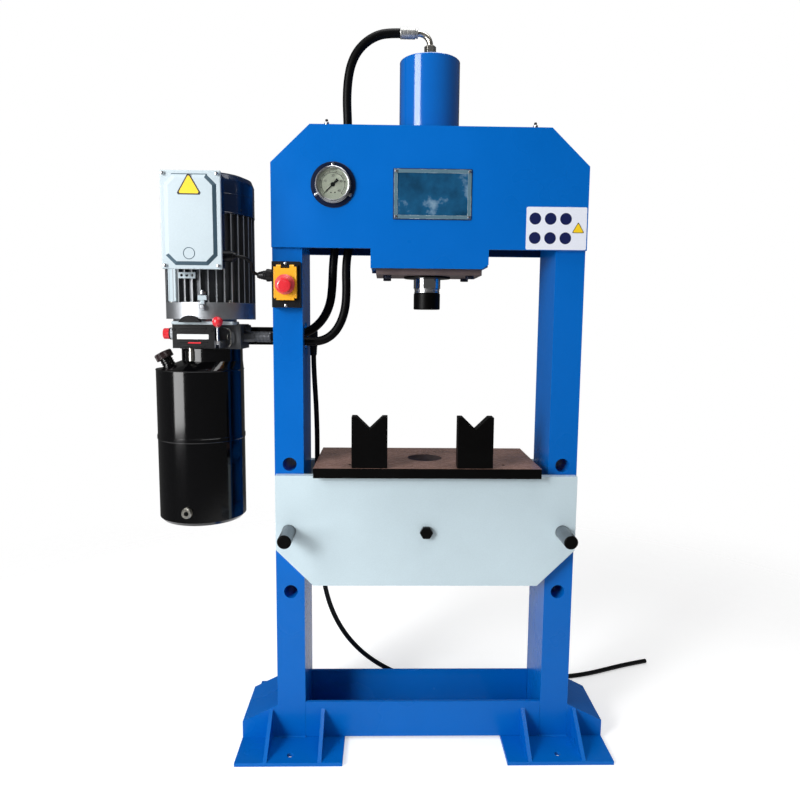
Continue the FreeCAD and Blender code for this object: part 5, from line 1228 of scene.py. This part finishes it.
motorSizes = {
    "axis": (-0.571, -0.03), "shieldRound": 0.0009, "cowlRound": 0.0006, "core": 0.1125,
    "hoops": ((0.1149, 0.0475, 0.0006), (0.1146, 0.0022, 0.001)), "hoopPitch": 0.006,
    "pad": (0.097, 0.1135), "padHalf": 0.018, "padHeights": (1.1965, 1.3), "padRound": 0.003,
    "padAngles": (226, 46), "tabAngles": (-34, 56, 146, 236), "tabReach": 0.1125, "tabRise": 0.011,
    "tab": [(0.0, -0.004), (0.0038, -0.004), (0.0038, 0.0), (0.0048, 0.0), (0.0048, 0.0016), (0.003, 0.0026),
            (0.0, 0.0028)],
    "boltAngles": (-50, 40, 130, 220), "boltReach": 0.105, "boltLevel": 1.1965,
    "bolt": (0.0062, 0.0061, 0.0055), "boltChamfer": 0.0008,
    "washer": [(0.0, -0.001), (0.0072, -0.001), (0.0072, 0.0005), (0.0, 0.0005)],
}


def roundMotor(piece, angles):
    # copies of a piece, turned about the motor's axis; the piece itself is used up
    x, y = motorSizes["axis"]
    copies = [turnPiece(copyPiece(piece, (0, 0, 0)), angle, "Z", (x, y, 0)) for angle in angles]
    bpy.data.objects.remove(piece, do_unlink=True)
    return joinAll(copies)


def makeMotor():
    x, y = motorSizes["axis"]
    shields = softCopy("motor_end_shields", motorSizes["shieldRound"])
    finishPiece(shields, "motorShields", castMetal, "frame", ["motor_end_shields"])
    housing = softCopy("motor_housing", 0.0)
    finishPiece(housing, "motorFins", finShadePaint, "frame", ["motor_housing"])
    # painted shade: the housing's core between the fins is darker
    paintFaces(housing, darkCastAndShade, lambda spot, normal: math.hypot(spot.x - x, spot.y - y) < motorSizes["core"])
    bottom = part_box("fan_cowl")[0][2]
    cowl = [softCopy("fan_cowl", motorSizes["cowlRound"])]
    for radius, rise, thick in motorSizes["hoops"]:
        cowl.append(addRun(ringPoints((x, y), radius, bottom + rise, 0, 360, motorSizes["hoopPitch"]), thick,
                           1.0, 1))
    # painted shade and reflection: the cowl's dark navy
    finishPiece(joinAll(cowl), "motorCowl", navyShadePaint, "frame", ["fan_cowl"])
    near, far = motorSizes["pad"]
    low, high = motorSizes["padHeights"]
    pad = addBlock((x + near, y - motorSizes["padHalf"], low), (x + far, y + motorSizes["padHalf"], high))
    bevelEdges(pad, motorSizes["padRound"], 3)
    finishPiece(roundMotor(pad, motorSizes["padAngles"]), "motorPads", silverPaint)
    tab = addTurned(motorSizes["tab"], (x + motorSizes["tabReach"], y, bottom + motorSizes["tabRise"]), "x", 20)
    finishPiece(roundMotor(tab, motorSizes["tabAngles"]), "cowlScrews", boltSteel)
    tip, root, depth = motorSizes["bolt"]
    place = (x + motorSizes["boltReach"], y, motorSizes["boltLevel"])
    bolt = joinAll([addStar(place, tip, root, depth, 6, "z", motorSizes["boltChamfer"]),
                    addTurned(motorSizes["washer"], place, "z", 24)])
    finishPiece(roundMotor(bolt, motorSizes["boltAngles"]), "shieldBolts", zincPlate)


clampSizes = {
    "x": -0.5635, "y": -0.1442, "strapX": (-0.6215, -0.5795), "strapZ": (1.2535, 1.2685), "strapThick": 0.0022,
    "strapRound": 0.0005, "holes": (-0.6135, -0.6005, -0.5875), "hole": 0.0034, "holeZ": 1.261,
    "holeBack": 0.004, "holeLong": 0.012,
    # left and right, how far in front of y, back, bottom and top, rounding
    "bars": (((-0.607, -0.601), 0.0015, -0.135, (1.262, 1.2695), 0.0005),
             ((-0.5745, -0.5525), 0.006, -0.138, (1.2005, 1.2125), 0.001),
             ((-0.5685, -0.5585), 0.0045, -0.1405, (1.176, 1.2025), 0.0016)),
    "before": 0.001, "shankZ": 1.2145, "nutZ": 1.2155, "nut": (0.0078, 0.0077, 0.0065), "nutChamfer": 0.0008,
    "shank": [(0.0, 0.0), (0.0042, 0.0), (0.0042, 0.0105), (0.0038, 0.011), (0.0, 0.011)],
    "knobZ": 1.1845, "knobBefore": 0.0058,
    "knob": [(0.0, 0.0), (0.0062, 0.0), (0.0068, 0.001), (0.0068, 0.0052), (0.005, 0.0068), (0.0, 0.0072)],
}


def addBar(across, front, back, heights, rounding):
    bar = addBlock((across[0], front, heights[0]), (across[1], back, heights[1]))
    if rounding:
        bevelEdges(bar, rounding, 2)
    return bar


def makeMotorBrackets():
    # a slotted strap below the lid and the clamp that stands on the lower shield
    x, y = clampSizes["x"], clampSizes["y"]
    strap = addBar(clampSizes["strapX"], y - clampSizes["strapThick"], y, clampSizes["strapZ"], 0.0)
    for holeX in clampSizes["holes"]:
        place = (holeX, y + clampSizes["holeBack"], clampSizes["holeZ"])
        cutAway(strap, addRod(place, clampSizes["hole"], clampSizes["holeLong"], "-y", 20))
    bevelEdges(strap, clampSizes["strapRound"], 2)
    bars = [addBar(across, y - before, back, heights, rounding)
            for across, before, back, heights, rounding in clampSizes["bars"]]
    tip, root, depth = clampSizes["nut"]
    front = y - clampSizes["before"]
    shank = addTurned(clampSizes["shank"], (x, front, clampSizes["shankZ"]), "z", 20)
    nut = addStar((x, front, clampSizes["nutZ"]), tip, root, depth, 6, "z", clampSizes["nutChamfer"])
    knob = addTurned(clampSizes["knob"], (x, y - clampSizes["knobBefore"], clampSizes["knobZ"]), "-y", 24)
    finishPiece(joinAll([strap] + bars), "motorClamp", silverPaint)
    finishPiece(joinAll([shank, nut, knob]), "clampBolts", castMetal)


makeMotor()
makeMotorBrackets()
print("motor made")


# valve under the motor

valveSizes = {
    "round": 0.0065, "shift": 0.012, "aside": (0.002, 0.001), "topSink": 0.001,
    "topFront": 0.002, "topRight": 0.046, "topBack": 0.03, "topThick": 0.0075,
    "topRound": 0.003, "label": (0.0395, 0.0062), "labelThick": 0.0009, "labelCorner": 0.0012,
    "domeY": -0.1435, "domeDrop": 0.0085, "domeCut": (0.05, -0.18, -0.12), "domeShow": 0.005,
    "domeAside": 0.002, "domeCutDrop": 0.06,
    "dome": [(0.0, -0.004), (0.031, -0.004), (0.031, 0.006), (0.0295, 0.0075), (0.024, 0.0075), (0.023, 0.0065),
             (0.0, 0.0065)],
    "ribs": ((0.0215, 0.034, 0.0022), (0.0135, 0.03, 0.0016), (-0.0135, 0.036, 0.0016),
             (-0.0235, 0.03, 0.0026)),
    "ribOut": 0.0016, "ribSink": 0.002, "ribRound": 0.0008, "screwX": 0.048, "screwZ": 0.018,
    "screw": [(0.0, -0.001), (0.0042, -0.001), (0.0042, 0.0012), (0.0034, 0.002), (0.0, 0.002)],
    "stripeX": (-0.012, 0.02), "stripeZ": (-0.017, -0.0135), "stripeThick": 0.0004,
}


def makeValve():
    low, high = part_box("valve_body")
    left, face, top = low[0] + valveSizes["shift"], low[1], high[2]
    x, z = (left + high[0]) / 2 - valveSizes["aside"][0], (low[2] + top) / 2 - valveSizes["aside"][1]
    body = softCopy("valve_body", valveSizes["round"], 4, 60)
    finishPiece(body, "valveBody", blackPlastic, "frame", ["valve_body"])
    front = valveSizes["topFront"]
    plate = addBlock((left - front, face - front, top - valveSizes["topSink"]),
                     (high[0] + valveSizes["topRight"], high[1] + valveSizes["topBack"],
                      top + valveSizes["topThick"]))
    bevelEdges(plate, valveSizes["topRound"], 3)
    finishPiece(plate, "valveTopPlate", silverPaint)
    place = (x - valveSizes["domeAside"], valveSizes["domeY"], top - valveSizes["domeDrop"])
    dome = addTurned(valveSizes["dome"], place, "-y", 56)
    wide, before, behind = valveSizes["domeCut"]
    cutAway(dome, addBlock((x - wide, before, top - valveSizes["domeCutDrop"]),
                           (x + wide, behind, top + valveSizes["domeShow"])))
    mergeClose(dome)
    finishPiece(dome, "valveDome", blackPlastic)
    half, rise = valveSizes["label"]
    outline = roundedOutline((x - half, z - rise), (x + half, z + rise), valveSizes["labelCorner"], 3)
    finishPiece(addPlate(outline, (0, face, 0), valveSizes["labelThick"]), "valveLabel", labelWhite)
    trims = []
    for dz, reach, tall in valveSizes["ribs"]:
        trim = addBlock((x - reach, face - valveSizes["ribOut"], z + dz - tall),
                        (x + reach, face + valveSizes["ribSink"], z + dz + tall))
        bevelEdges(trim, valveSizes["ribRound"], 2)
        trims.append(trim)
    for side in (-1, 1):
        place = (x + side * valveSizes["screwX"], face, z + valveSizes["screwZ"])
        trims.append(addTurned(valveSizes["screw"], place, "-y", 20))
    finishPiece(joinAll(trims), "valveRibs", blackPlastic)
    left, right = x + valveSizes["stripeX"][0], x + valveSizes["stripeX"][1]
    bottom, upper = z + valveSizes["stripeZ"][0], z + valveSizes["stripeZ"][1]
    outline = [(right, upper), (left, upper), (left, bottom), (right, bottom)]
    stripe = addPlate(outline, (0, face - valveSizes["ribOut"], 0), valveSizes["stripeThick"])
    finishPiece(stripe, "valveStripe", redPlastic)


knobSizes = {
    "inset": 0.016, "knurls": 22, "grip": (0.0136, 0.0126, 0.0152), "chamfer": 0.0012,
    "cap": [(0.0, 0.0148), (0.0085, 0.0148), (0.0085, 0.0156), (0.0075, 0.016), (0.0, 0.016)],
    "spindle": [(0.0, 0.0), (0.004, 0.0), (0.004, 0.0268), (0.0, 0.0268)],
    "collar": (0.0158, 0.0152, 0.009), "collarPlace": 0.0125, "collarTeeth": 30, "collarChamfer": 0.001,
    "bore": 0.0046, "boreStart": 0.004, "boreLong": 0.03,
}


def makeKnob():
    low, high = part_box("pressure_knob")
    y, z = (low[1] + high[1]) / 2, (low[2] + high[2]) / 2
    start = low[0] + knobSizes["inset"]
    tip, root, depth = knobSizes["grip"]
    grip = addStar((start, y, z), tip, root, depth, knobSizes["knurls"], "-x", knobSizes["chamfer"])
    cap = addTurned(knobSizes["cap"], (start, y, z), "-x", 24)
    spindle = addTurned(knobSizes["spindle"], (start - hair, y, z), "x", 20)
    finishPiece(joinAll([grip, cap, spindle]), "valveKnob", redPlastic, "valve_knob",
                ["pressure_knob"], 30)
    tip, root, depth = knobSizes["collar"]
    collar = addStar((start + knobSizes["collarPlace"], y, z), tip, root, depth, knobSizes["collarTeeth"], "-x",
                     knobSizes["collarChamfer"])
    bore = addRod((start - knobSizes["boreStart"], y, z), knobSizes["bore"], knobSizes["boreLong"], "x", 24)
    cutAway(collar, bore)
    mergeClose(collar)
    finishPiece(collar, "valveCollar", castMetal)


leverSizes = {"y": -0.15, "ball": 0.026, "nutDrop": 0.002,
              "nut": [(0.0034, 0.0), (0.0052, 0.0), (0.0056, 0.0012), (0.0046, 0.0028), (0.0034, 0.0028)]}


def makeLever():
    low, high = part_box("release_lever")
    lever = softCopy("release_lever", 0.0)
    ballLow = high[2] - leverSizes["ball"]
    finishPiece(lever, "handLever", brightSteel, "hand_lever", ["release_lever"])
    paintFaces(lever, redPlastic, lambda spot, normal: spot.z > ballLow)
    place = ((low[0] + high[0]) / 2, leverSizes["y"], ballLow - leverSizes["nutDrop"])
    nut = addTurned(leverSizes["nut"], place, "z", 24, closed=True)
    finishPiece(nut, "leverNut", zincPlate, "hand_lever")


blockSizes = {
    "round": 0.0014, "castAbove": 1.079, "clipThick": 0.0021, "linkThick": 0.0013,
    "plugPlace": (-0.607, -0.1, 1.0535),
    "clip": [(-0.527, -0.0905, 1.131), (-0.519, -0.0955, 1.131), (-0.5115, -0.0965, 1.129),
             (-0.507, -0.0965, 1.123), (-0.506, -0.0965, 1.112), (-0.506, -0.0965, 1.1),
             (-0.508, -0.0965, 1.0905), (-0.5125, -0.0955, 1.085), (-0.5145, -0.088, 1.0845)],
    "link": [(-0.5165, -0.0865, 1.1165), (-0.5165, -0.0935, 1.1155), (-0.5165, -0.0945, 1.109),
             (-0.5165, -0.0935, 1.1035), (-0.5165, -0.0865, 1.1025)],
    "plug": [(0.0, -0.006), (0.0088, -0.006), (0.0088, 0.0185), (0.0078, 0.0195), (0.0078, 0.024),
             (0.0094, 0.025), (0.0094, 0.0285), (0.0, 0.0285)],
}


def makeBlock():
    # the block with a wire clip on the right of the valve and a plug below it
    block = softCopy("pump_manifold", blockSizes["round"])
    finishPiece(block, "pumpBlock", darkCastAndShade, "frame", ["pump_manifold"])
    paintFaces(block, tankPaint, lambda spot, normal: spot.z < blockSizes["castAbove"])
    clip = addRun(blockSizes["clip"], blockSizes["clipThick"], 1.0, 3, smooth=True)
    link = addRun(blockSizes["link"], blockSizes["linkThick"], 1.0, 3, smooth=True)
    plug = addTurned(blockSizes["plug"], blockSizes["plugPlace"], "z", 28)
    finishPiece(joinAll([clip, link, plug]), "blockFittings", zincPlate)


makeValve()
makeKnob()
makeLever()
makeBlock()
print("valve and block made")


# cylinder, ram and hose ends

cylinderSizes = {
    "round": 0.001, "rodRound": 0.0006, "sides": 72, "plateRise": 0.0202, "noseDrop": 0.013,
    "beads": ((0.0792, 0.0212, 0.0038), (0.0762, -0.0022, 0.0022)),
    "flat": 0.97, "noseInset": (0.004, -0.0008),
    "noseFoot": [(0.0, 0.0), (0.0325, 0.0), (0.0345, 0.0006), (0.0355, 0.0022)],
    "noseTop": [(0.0355, -0.0012), (0.0348, -0.0002), (0.0, -0.0002)],
    "ring": [(0.015, 0.0), (0.0325, 0.0), (0.034, 0.0012), (0.034, 0.0045), (0.0332, 0.0055), (0.0332, 0.0075),
             (0.034, 0.0085), (0.034, 0.0125), (0.033, 0.013), (0.015, 0.013)],
    "stud": [(0.0, -0.004), (0.015, -0.004), (0.015, 0.04), (0.0, 0.04)],
}


def makeCylinder():
    low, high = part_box("cylinder_barrel")
    barrel = [softCopy("cylinder_barrel", cylinderSizes["round"])]
    for (radius, rise, thick), level in zip(cylinderSizes["beads"], (low[2], high[2])):
        barrel.append(addRun(ringPoints((0, 0), radius, level + rise), thick, beadWaist, 1))
    plateTop = low[2] + cylinderSizes["plateRise"]
    body = finishPiece(joinAll(barrel), "cylinderBarrel", barrelPaint, "frame",
                       ["cylinder_barrel"])
    # the mount plate is bare steel with a painted brown reflection
    paintFaces(body, bareSteelBrownReflection, lambda spot, normal: spot.z < plateTop
               and max(map(abs, normal)) > cylinderSizes["flat"])
    gland = softCopy("rod_gland", cylinderSizes["round"])
    finishPiece(gland, "rodGland", blackSteel, "frame", ["rod_gland"])


def makeRam():
    rod = softCopy("ram_rod", cylinderSizes["rodRound"])
    finishPiece(rod, "ramRod", chromeRod, "ram", ["ram_rod"])
    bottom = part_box("ram_nose")[0][2]
    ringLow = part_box("ram_rod")[0][2] - cylinderSizes["noseDrop"]
    sides = cylinderSizes["sides"]
    outline = [(radius, bottom + rise) for radius, rise in cylinderSizes["noseFoot"]]
    outline += [(radius, ringLow + rise) for radius, rise in cylinderSizes["noseTop"]]
    nose = addTurned(outline, (0, 0, 0), "z", sides)
    openEdit(nose)
    pickFaces(nose, lambda spot, normal: abs(spot.z - bottom) < hair and normal.z < -facing)
    thickness, depth = cylinderSizes["noseInset"]
    bpy.ops.mesh.inset(thickness=thickness, depth=depth)
    closeEdit()
    finishPiece(nose, "ramNose", blackSteel, "ram", ["ram_nose"])
    ring = addTurned(cylinderSizes["ring"], (0, 0, ringLow), "z", sides, closed=True)
    stud = addTurned(cylinderSizes["stud"], (0, 0, ringLow), "z", 32)
    finishPiece(joinAll([ring, stud]), "ramRing", brightSteel, "ram")


ferruleSizes = {
    "radius": 0.014, "length": 0.046, "blockLength": 0.045, "grooves": 3, "start": 0.0072, "end": 0.0135,
    "nut": [(0.0078, 0.0), (0.0118, 0.0), (0.0126, 0.0008), (0.0126, 0.0035), (0.0112, 0.0045),
            (0.0112, 0.0062), (0.0134, 0.0072)],
    "ripple": ((0.0, 0.08), (0.0, 0.82), (0.0005, 0.86), (0.0005, 0.98)),
    "tail": [(0.014, 0.0055), (0.014, 0.0012), (0.013, 0.0), (0.0114, 0.0), (0.0114, 0.003), (0.0078, 0.003)],
    "top": (-0.032, 0, 1.892), "crown": (-0.1337, 0, 1.44065), "crownTurn": -135, "block": (-0.457, 1.109),
    "blockY": (-0.045, -0.005), "darkLeft": -0.4, "fittingRound": 0.0008,
}


def makeFerrule(place, axis, length, turn=None):
    # the ripple is depth and share of a step, the tail is radius and distance from the end
    radius, count = ferruleSizes["radius"], ferruleSizes["grooves"]
    step = (length - ferruleSizes["end"]) / count
    outline = list(ferruleSizes["nut"])
    for groove in range(count):
        start = ferruleSizes["start"] + step * groove
        outline += [(radius - depth, start + step * share) for depth, share in ferruleSizes["ripple"]]
    outline += [(reach, length - back) for reach, back in ferruleSizes["tail"]]
    return addTurned(outline, place, axis, 40, closed=True, turn=turn)


def makeHoseEnds():
    length = ferruleSizes["length"]
    pieces = [makeFerrule(ferruleSizes["top"], "-x", length)]
    pieces.append(makeFerrule(ferruleSizes["crown"], "z", length,
                              (0, math.radians(ferruleSizes["crownTurn"]), 0)))
    x, z = ferruleSizes["block"]
    for y in ferruleSizes["blockY"]:
        pieces.append(makeFerrule((x, y, z), "x", ferruleSizes["blockLength"]))
    finishPiece(joinAll(pieces), "hoseFerrules", ferruleSteel, "frame", ["hose_ferrules"], 40)
    fittings = softCopy("hose_fittings", ferruleSizes["fittingRound"])
    finishPiece(fittings, "hoseFittings", zincPlate, "frame", ["hose_fittings"])
    for name in ("hoseFerrules", "hoseFittings"):
        paintFaces(bpy.data.objects[name], darkCastAndShade, lambda spot, normal: spot.x < ferruleSizes["darkLeft"])


makeCylinder()
makeRam()
makeHoseEnds()
print("cylinder and hose ends made")


# glands of the cables

glandSizes = {
    "round": 0.0008, "teeth": 12, "switchGrip": (0.0158, 0.015, 0.0075), "motorGrip": (0.0138, 0.0131, 0.0085),
    "switchPlace": (-0.403, -0.113, 1.265), "motorPlace": (-0.4945, -0.162, 1.306),
    "relief": 0.034, "reliefPlace": (-0.311, 0.048, 1.0905), "rings": 6, "ringStep": 0.0052, "ring": 0.0112,
    "ringLess": 0.00035, "ringStart": 0.002,
    "ringShape": ((0.0, 0.0), (0.0, 0.003), (0.0013, 0.0036), (0.0013, 0.0046)),
    "bore": 0.0072, "flange": 0.012, "tip": 0.0086, "chamfer": 0.0008,
    "bootPlace": (-0.4115, -0.113, 1.265),
    "boot": [(0.0041, 0.0), (0.0118, 0.0), (0.0122, 0.002), (0.0112, 0.004), (0.0116, 0.006), (0.0102, 0.009),
             (0.0104, 0.011), (0.009, 0.014), (0.0091, 0.016), (0.0076, 0.0195), (0.0062, 0.0225),
             (0.0041, 0.0225)],
}


def makeGlands():
    pieces = [softCopy("cable_glands", glandSizes["round"])]
    for end, axis in (("switch", "-x"), ("motor", "x")):
        tip, root, depth = glandSizes[end + "Grip"]
        pieces.append(addStar(glandSizes[end + "Place"], tip, root, depth, glandSizes["teeth"], axis,
                              glandSizes["chamfer"]))
    bore, relief = glandSizes["bore"], glandSizes["relief"]
    outline = [(bore, 0.0), (glandSizes["flange"], 0.0)]
    for count in range(glandSizes["rings"]):
        start = glandSizes["ringStart"] + count * glandSizes["ringStep"]
        radius = glandSizes["ring"] - glandSizes["ringLess"] * count
        outline += [(radius - depth, start + along) for depth, along in glandSizes["ringShape"]]
    outline += [(glandSizes["tip"], relief), (bore, relief)]
    pieces.append(addTurned(outline, glandSizes["reliefPlace"], "-z", 28, closed=True))
    pieces.append(addTurned(glandSizes["boot"], glandSizes["bootPlace"], "-x", 28, closed=True))
    finishPiece(joinAll(pieces), "cableGlands", blackPlastic, "frame", ["cable_glands"])


makeGlands()
print("glands made")


# oil tank, its cap and its drain plug

tankSizes = {
    "radius": 0.113, "axis": (-0.604, -0.03), "seam": 0.223, "seamHalf": 0.0048, "seamThick": 0.0013,
    "rim": (0.0012, 0.4005, 0.0022), "round": 0.0008, "hexagon": (0.0126, 0.0125, 0.008), "hexagonDeep": 0.008,
    "hexagonChamfer": 0.0012,
    "washerDeep": 0.0096, "threadDeep": 0.024,
    "washer": [(0.006, 0.0), (0.0138, 0.0), (0.0138, 0.0016), (0.006, 0.0016)],
    "thread": [(0.0, 0.0), (0.006, 0.0), (0.006, 0.0165), (0.0, 0.0165)], "socket": (0.0062, 0.0061, 0.0003),
    "filler": (-0.676, -0.048, 1.024), "tilt": 28.0, "rings": 3, "ringRise": 0.0095, "ringStep": 0.0062,
    "ring": [(0.014, 0.0), (0.0163, 0.0006), (0.0166, 0.0017), (0.0163, 0.0028), (0.014, 0.0034)],
}


def setOnFiller(piece):
    # what is modelled upright goes on the neck's leaning axis
    piece.rotation_euler = (0, -math.radians(tankSizes["tilt"]), 0)
    piece.location = tankSizes["filler"]
    applyPlace(piece)
    return piece


def makeTank():
    centre, radius = tankSizes["axis"], tankSizes["radius"]
    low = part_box("oil_tank")[0]
    seam = low[2] + tankSizes["seam"]
    pieces = [softCopy("oil_tank", tankSizes["round"])]
    for side in (-1, 1):
        pieces.append(addRun(ringPoints(centre, radius, seam + side * tankSizes["seamHalf"]),
                             tankSizes["seamThick"], beadWaist, 1))
    less, rise, thick = tankSizes["rim"]
    pieces.append(addRun(ringPoints(centre, radius - less, low[2] + rise), thick, beadWaist, 1))
    finishPiece(joinAll(pieces), "oilTank", tankPaint, "frame", ["oil_tank"])


def makeDrainPlug():
    x, _, z = middle("drain_plug")
    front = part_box("drain_plug")[0][1]
    tip, root, depth = tankSizes["hexagon"]
    hexagon = addStar((x, front + tankSizes["hexagonDeep"], z), tip, root, depth, 6, "-y",
                      tankSizes["hexagonChamfer"])
    washer = addTurned(tankSizes["washer"], (x, front + tankSizes["washerDeep"], z), "-y", 32, closed=True)
    thread = addTurned(tankSizes["thread"], (x, front + tankSizes["threadDeep"], z), "-y", 24)
    finishPiece(joinAll([hexagon, washer, thread]), "drainPlug", zincPlate, "frame",
                ["drain_plug"])
    tip, root, depth = tankSizes["socket"]
    socket = addStar((x, front + hair, z), tip, root, depth, 6, "-y")
    finishPiece(socket, "drainSocket", blackSteel)


def makeFillerRings():
    rings = []
    for count in range(tankSizes["rings"]):
        place = (0, 0, tankSizes["ringRise"] + tankSizes["ringStep"] * count)
        rings.append(addTurned(tankSizes["ring"], place, "z", 36, closed=True))
    finishPiece(setOnFiller(joinAll(rings)), "fillerRings", tankPaint)


capSizes = {
    "start": 0.0303, "grip": (0.023, 0.0221, 0.0172), "knurls": 40, "chamfer": 0.0016, "buttonRise": 0.016,
    "insets": ((0.0035, 0.0), (0.0012, -0.001)),
    "flange": [(0.0, 0.0), (0.0218, 0.0), (0.0228, 0.0008), (0.0228, 0.0026), (0.0218, 0.0034), (0.0, 0.0034)],
    "button": [(0.0, 0.0), (0.0095, 0.0), (0.0095, 0.0022), (0.0085, 0.0028), (0.0, 0.0028)],
    "neck": [(0.0, -0.01), (0.0115, -0.01), (0.0115, 0.001), (0.0, 0.001)],
}


def makeCap():
    start = capSizes["start"]
    tip, root, depth = capSizes["grip"]
    body = addStar((0, 0, start), tip, root, depth, capSizes["knurls"], "z", capSizes["chamfer"])
    openEdit(body)
    pickFaces(body, lambda spot, normal: normal.z > facing)
    for thickness, rise in capSizes["insets"]:
        bpy.ops.mesh.inset(thickness=thickness, depth=rise)
    closeEdit()
    flange = addTurned(capSizes["flange"], (0, 0, start), "z", 48)
    button = addTurned(capSizes["button"], (0, 0, start + capSizes["buttonRise"]), "z", 32)
    neck = addTurned(capSizes["neck"], (0, 0, start), "z", 28)
    cap = setOnFiller(joinAll([body, flange, button, neck]))
    finishPiece(cap, "tankCap", capPlastic, "tank_cap", ["filler_cap"])


makeTank()
makeDrainPlug()
makeFillerRings()
makeCap()
print("tank made")


# weld beads

weldSizes = {
    "plateTop": 0.01, "crownBottom": 1.336, "columnX": (0.324, 0.4), "columnY": 0.0905, "footBead": 0.0034,
    "ribX": (0.276, 0.418), "ribHalf": 0.0055, "ribY": (0.1, 0.19), "ribBead": 0.0026,
    "crownX": (0.328, 0.396), "crownBead": 0.0028, "footLift": 0.0005, "ribLift": 0.0004, "crownDrop": 0.0002,
}


def makeWelds():
    beads = []
    near, far = weldSizes["columnX"]
    level = weldSizes["plateTop"] + weldSizes["footLift"]
    for side in (-1, 1):
        for y in (-weldSizes["columnY"], weldSizes["columnY"]):
            beads.append(addBead([(side * near, y, level), (side * far, y, level)], weldSizes["footBead"]))
    level = weldSizes["plateTop"] + weldSizes["ribLift"]
    start, end = weldSizes["ribY"]
    half = weldSizes["ribHalf"]
    ribs = [side * x for side in (-1, 1) for x in weldSizes["ribX"]]
    for x in [rib + edge for rib in ribs for edge in (-half, half)]:
        for y in (-1, 1):
            beads.append(addBead([(x, y * start, level), (x, y * end, level)], weldSizes["ribBead"]))
    near, far = weldSizes["crownX"]
    level = weldSizes["crownBottom"] - weldSizes["crownDrop"]
    for y in (-weldSizes["columnY"], weldSizes["columnY"]):
        for side in (-1, 1):
            beads.append(addBead([(side * near, y, level), (side * far, y, level)], weldSizes["crownBead"]))
    finishPiece(joinAll(beads), "frameWelds", bluePaint)


makeWelds()
print("welds made")


# floor and light

studio = {
    "floor": 7.0, "clear": 1.1, "far": 2.6, "floorGlow": 0.42, "sky": 0.075, "backdrop": 1.0,
    # name: place, width, height, power, target, shows in reflections
    "lamps": {
        "keyLamp": ((-2.8, -3.2, 2.15), 0.95, 0.95, 70.0, (0, 0, 0.9), True),
        "fillLamp": ((3.0, -2.9, 1.6), 2.4, 2.4, 6.0, (0, 0, 0.9), False),
        "lowLamp": ((0.4, -3.6, 0.5), 1.8, 1.8, 6.0, (0, 0, 0.35), False),
        "stripLamp": ((-2.45, -2.05, 1.9), 1.35, 2.9, 88.0, (0, 0, 1.9), True),
        "topLamp": ((0.2, -0.3, 4.2), 2.4, 2.4, 78.0, (0, 0, 0.9), True),
        "rearLamp": ((0.5, 3.6, 1.9), 2.6, 2.6, 26.0, (0, 0, 0.9), False),
    },
}


def addLamp(name, place, width, height, power, target, mirrored):
    bpy.ops.object.light_add(type="AREA", location=place)
    lamp = bpy.context.object
    lamp.name = name
    lamp.data.size = width
    if height != width:
        lamp.data.shape = "RECTANGLE"
        lamp.data.size_y = height
    lamp.data.energy = power
    lamp.visible_glossy = mirrored
    lamp.rotation_euler = (Vector(target) - Vector(place)).to_track_quat("-Z", "Y").to_euler()


def makeFloorFinish():
    # pale near the press and clear further out, so that it has no edge
    material, tree, surface = startMaterial("studioFloorPale", Specular_IOR_Level=0.2)
    tone = placeGroup(tree, toneGroup, (-600, 200), Colour=(0.9, 0.9, 0.9, 1.0), Scale=1.2, Change=0.01,
                      Specks=0.01)
    tree.links.new(tone.outputs["Colour"], surface.inputs["Base Color"])
    roughnessFrom(tree, tone.outputs["Mask"], surface, 0.6, 0.7)
    spot = newNode(tree, "ShaderNodeTexCoord", (-600, -500))
    reach = newNode(tree, "ShaderNodeVectorMath", (-400, -500), {"operation": "LENGTH"})
    tree.links.new(spot.outputs["Object"], reach.inputs[0])
    fade = newNode(tree, "ShaderNodeMapRange", (-200, -500), {"interpolation_type": "SMOOTHSTEP"},
                   {"From Min": studio["clear"], "From Max": studio["far"], "To Min": 1.0, "To Max": 0.0})
    tree.links.new(reach.outputs["Value"], fade.inputs["Value"])
    tree.links.new(fade.outputs["Result"], surface.inputs["Alpha"])
    seen = newNode(tree, "ShaderNodeLightPath", (0, -700))
    glow = newNode(tree, "ShaderNodeMath", (200, -700), {"operation": "MULTIPLY"}, {1: studio["floorGlow"]})
    tree.links.new(seen.outputs["Is Camera Ray"], glow.inputs[0])
    tree.links.new(glow.outputs[0], surface.inputs["Emission Strength"])
    surface.inputs["Emission Color"].default_value = (1.0, 1.0, 1.0, 1.0)
    return material


def setSky():
    world = bpy.data.worlds.new("studioWorld")
    bpy.context.scene.world = world
    world.use_nodes = True
    tree = world.node_tree
    sky = tree.nodes["Background"]
    sky.inputs["Color"].default_value = (1.0, 1.0, 1.0, 1.0)
    path = newNode(tree, "ShaderNodeLightPath", (-500, 0))
    level = newNode(tree, "ShaderNodeMapRange", (-250, 0),
                    values={"To Min": studio["sky"], "To Max": studio["backdrop"]})
    tree.links.new(path.outputs["Is Camera Ray"], level.inputs["Value"])
    tree.links.new(level.outputs["Result"], sky.inputs["Strength"])


def setStudio():
    bpy.ops.mesh.primitive_plane_add(size=studio["floor"], location=(0, 0, 0))
    floor = bpy.context.object
    floor.name = "studioFloor"
    floor.data.materials.append(makeFloorFinish())
    setSky()
    for name, values in studio["lamps"].items():
        addLamp(name, *values)


setStudio()
print("studio set")

bpy.context.view_layer.update()
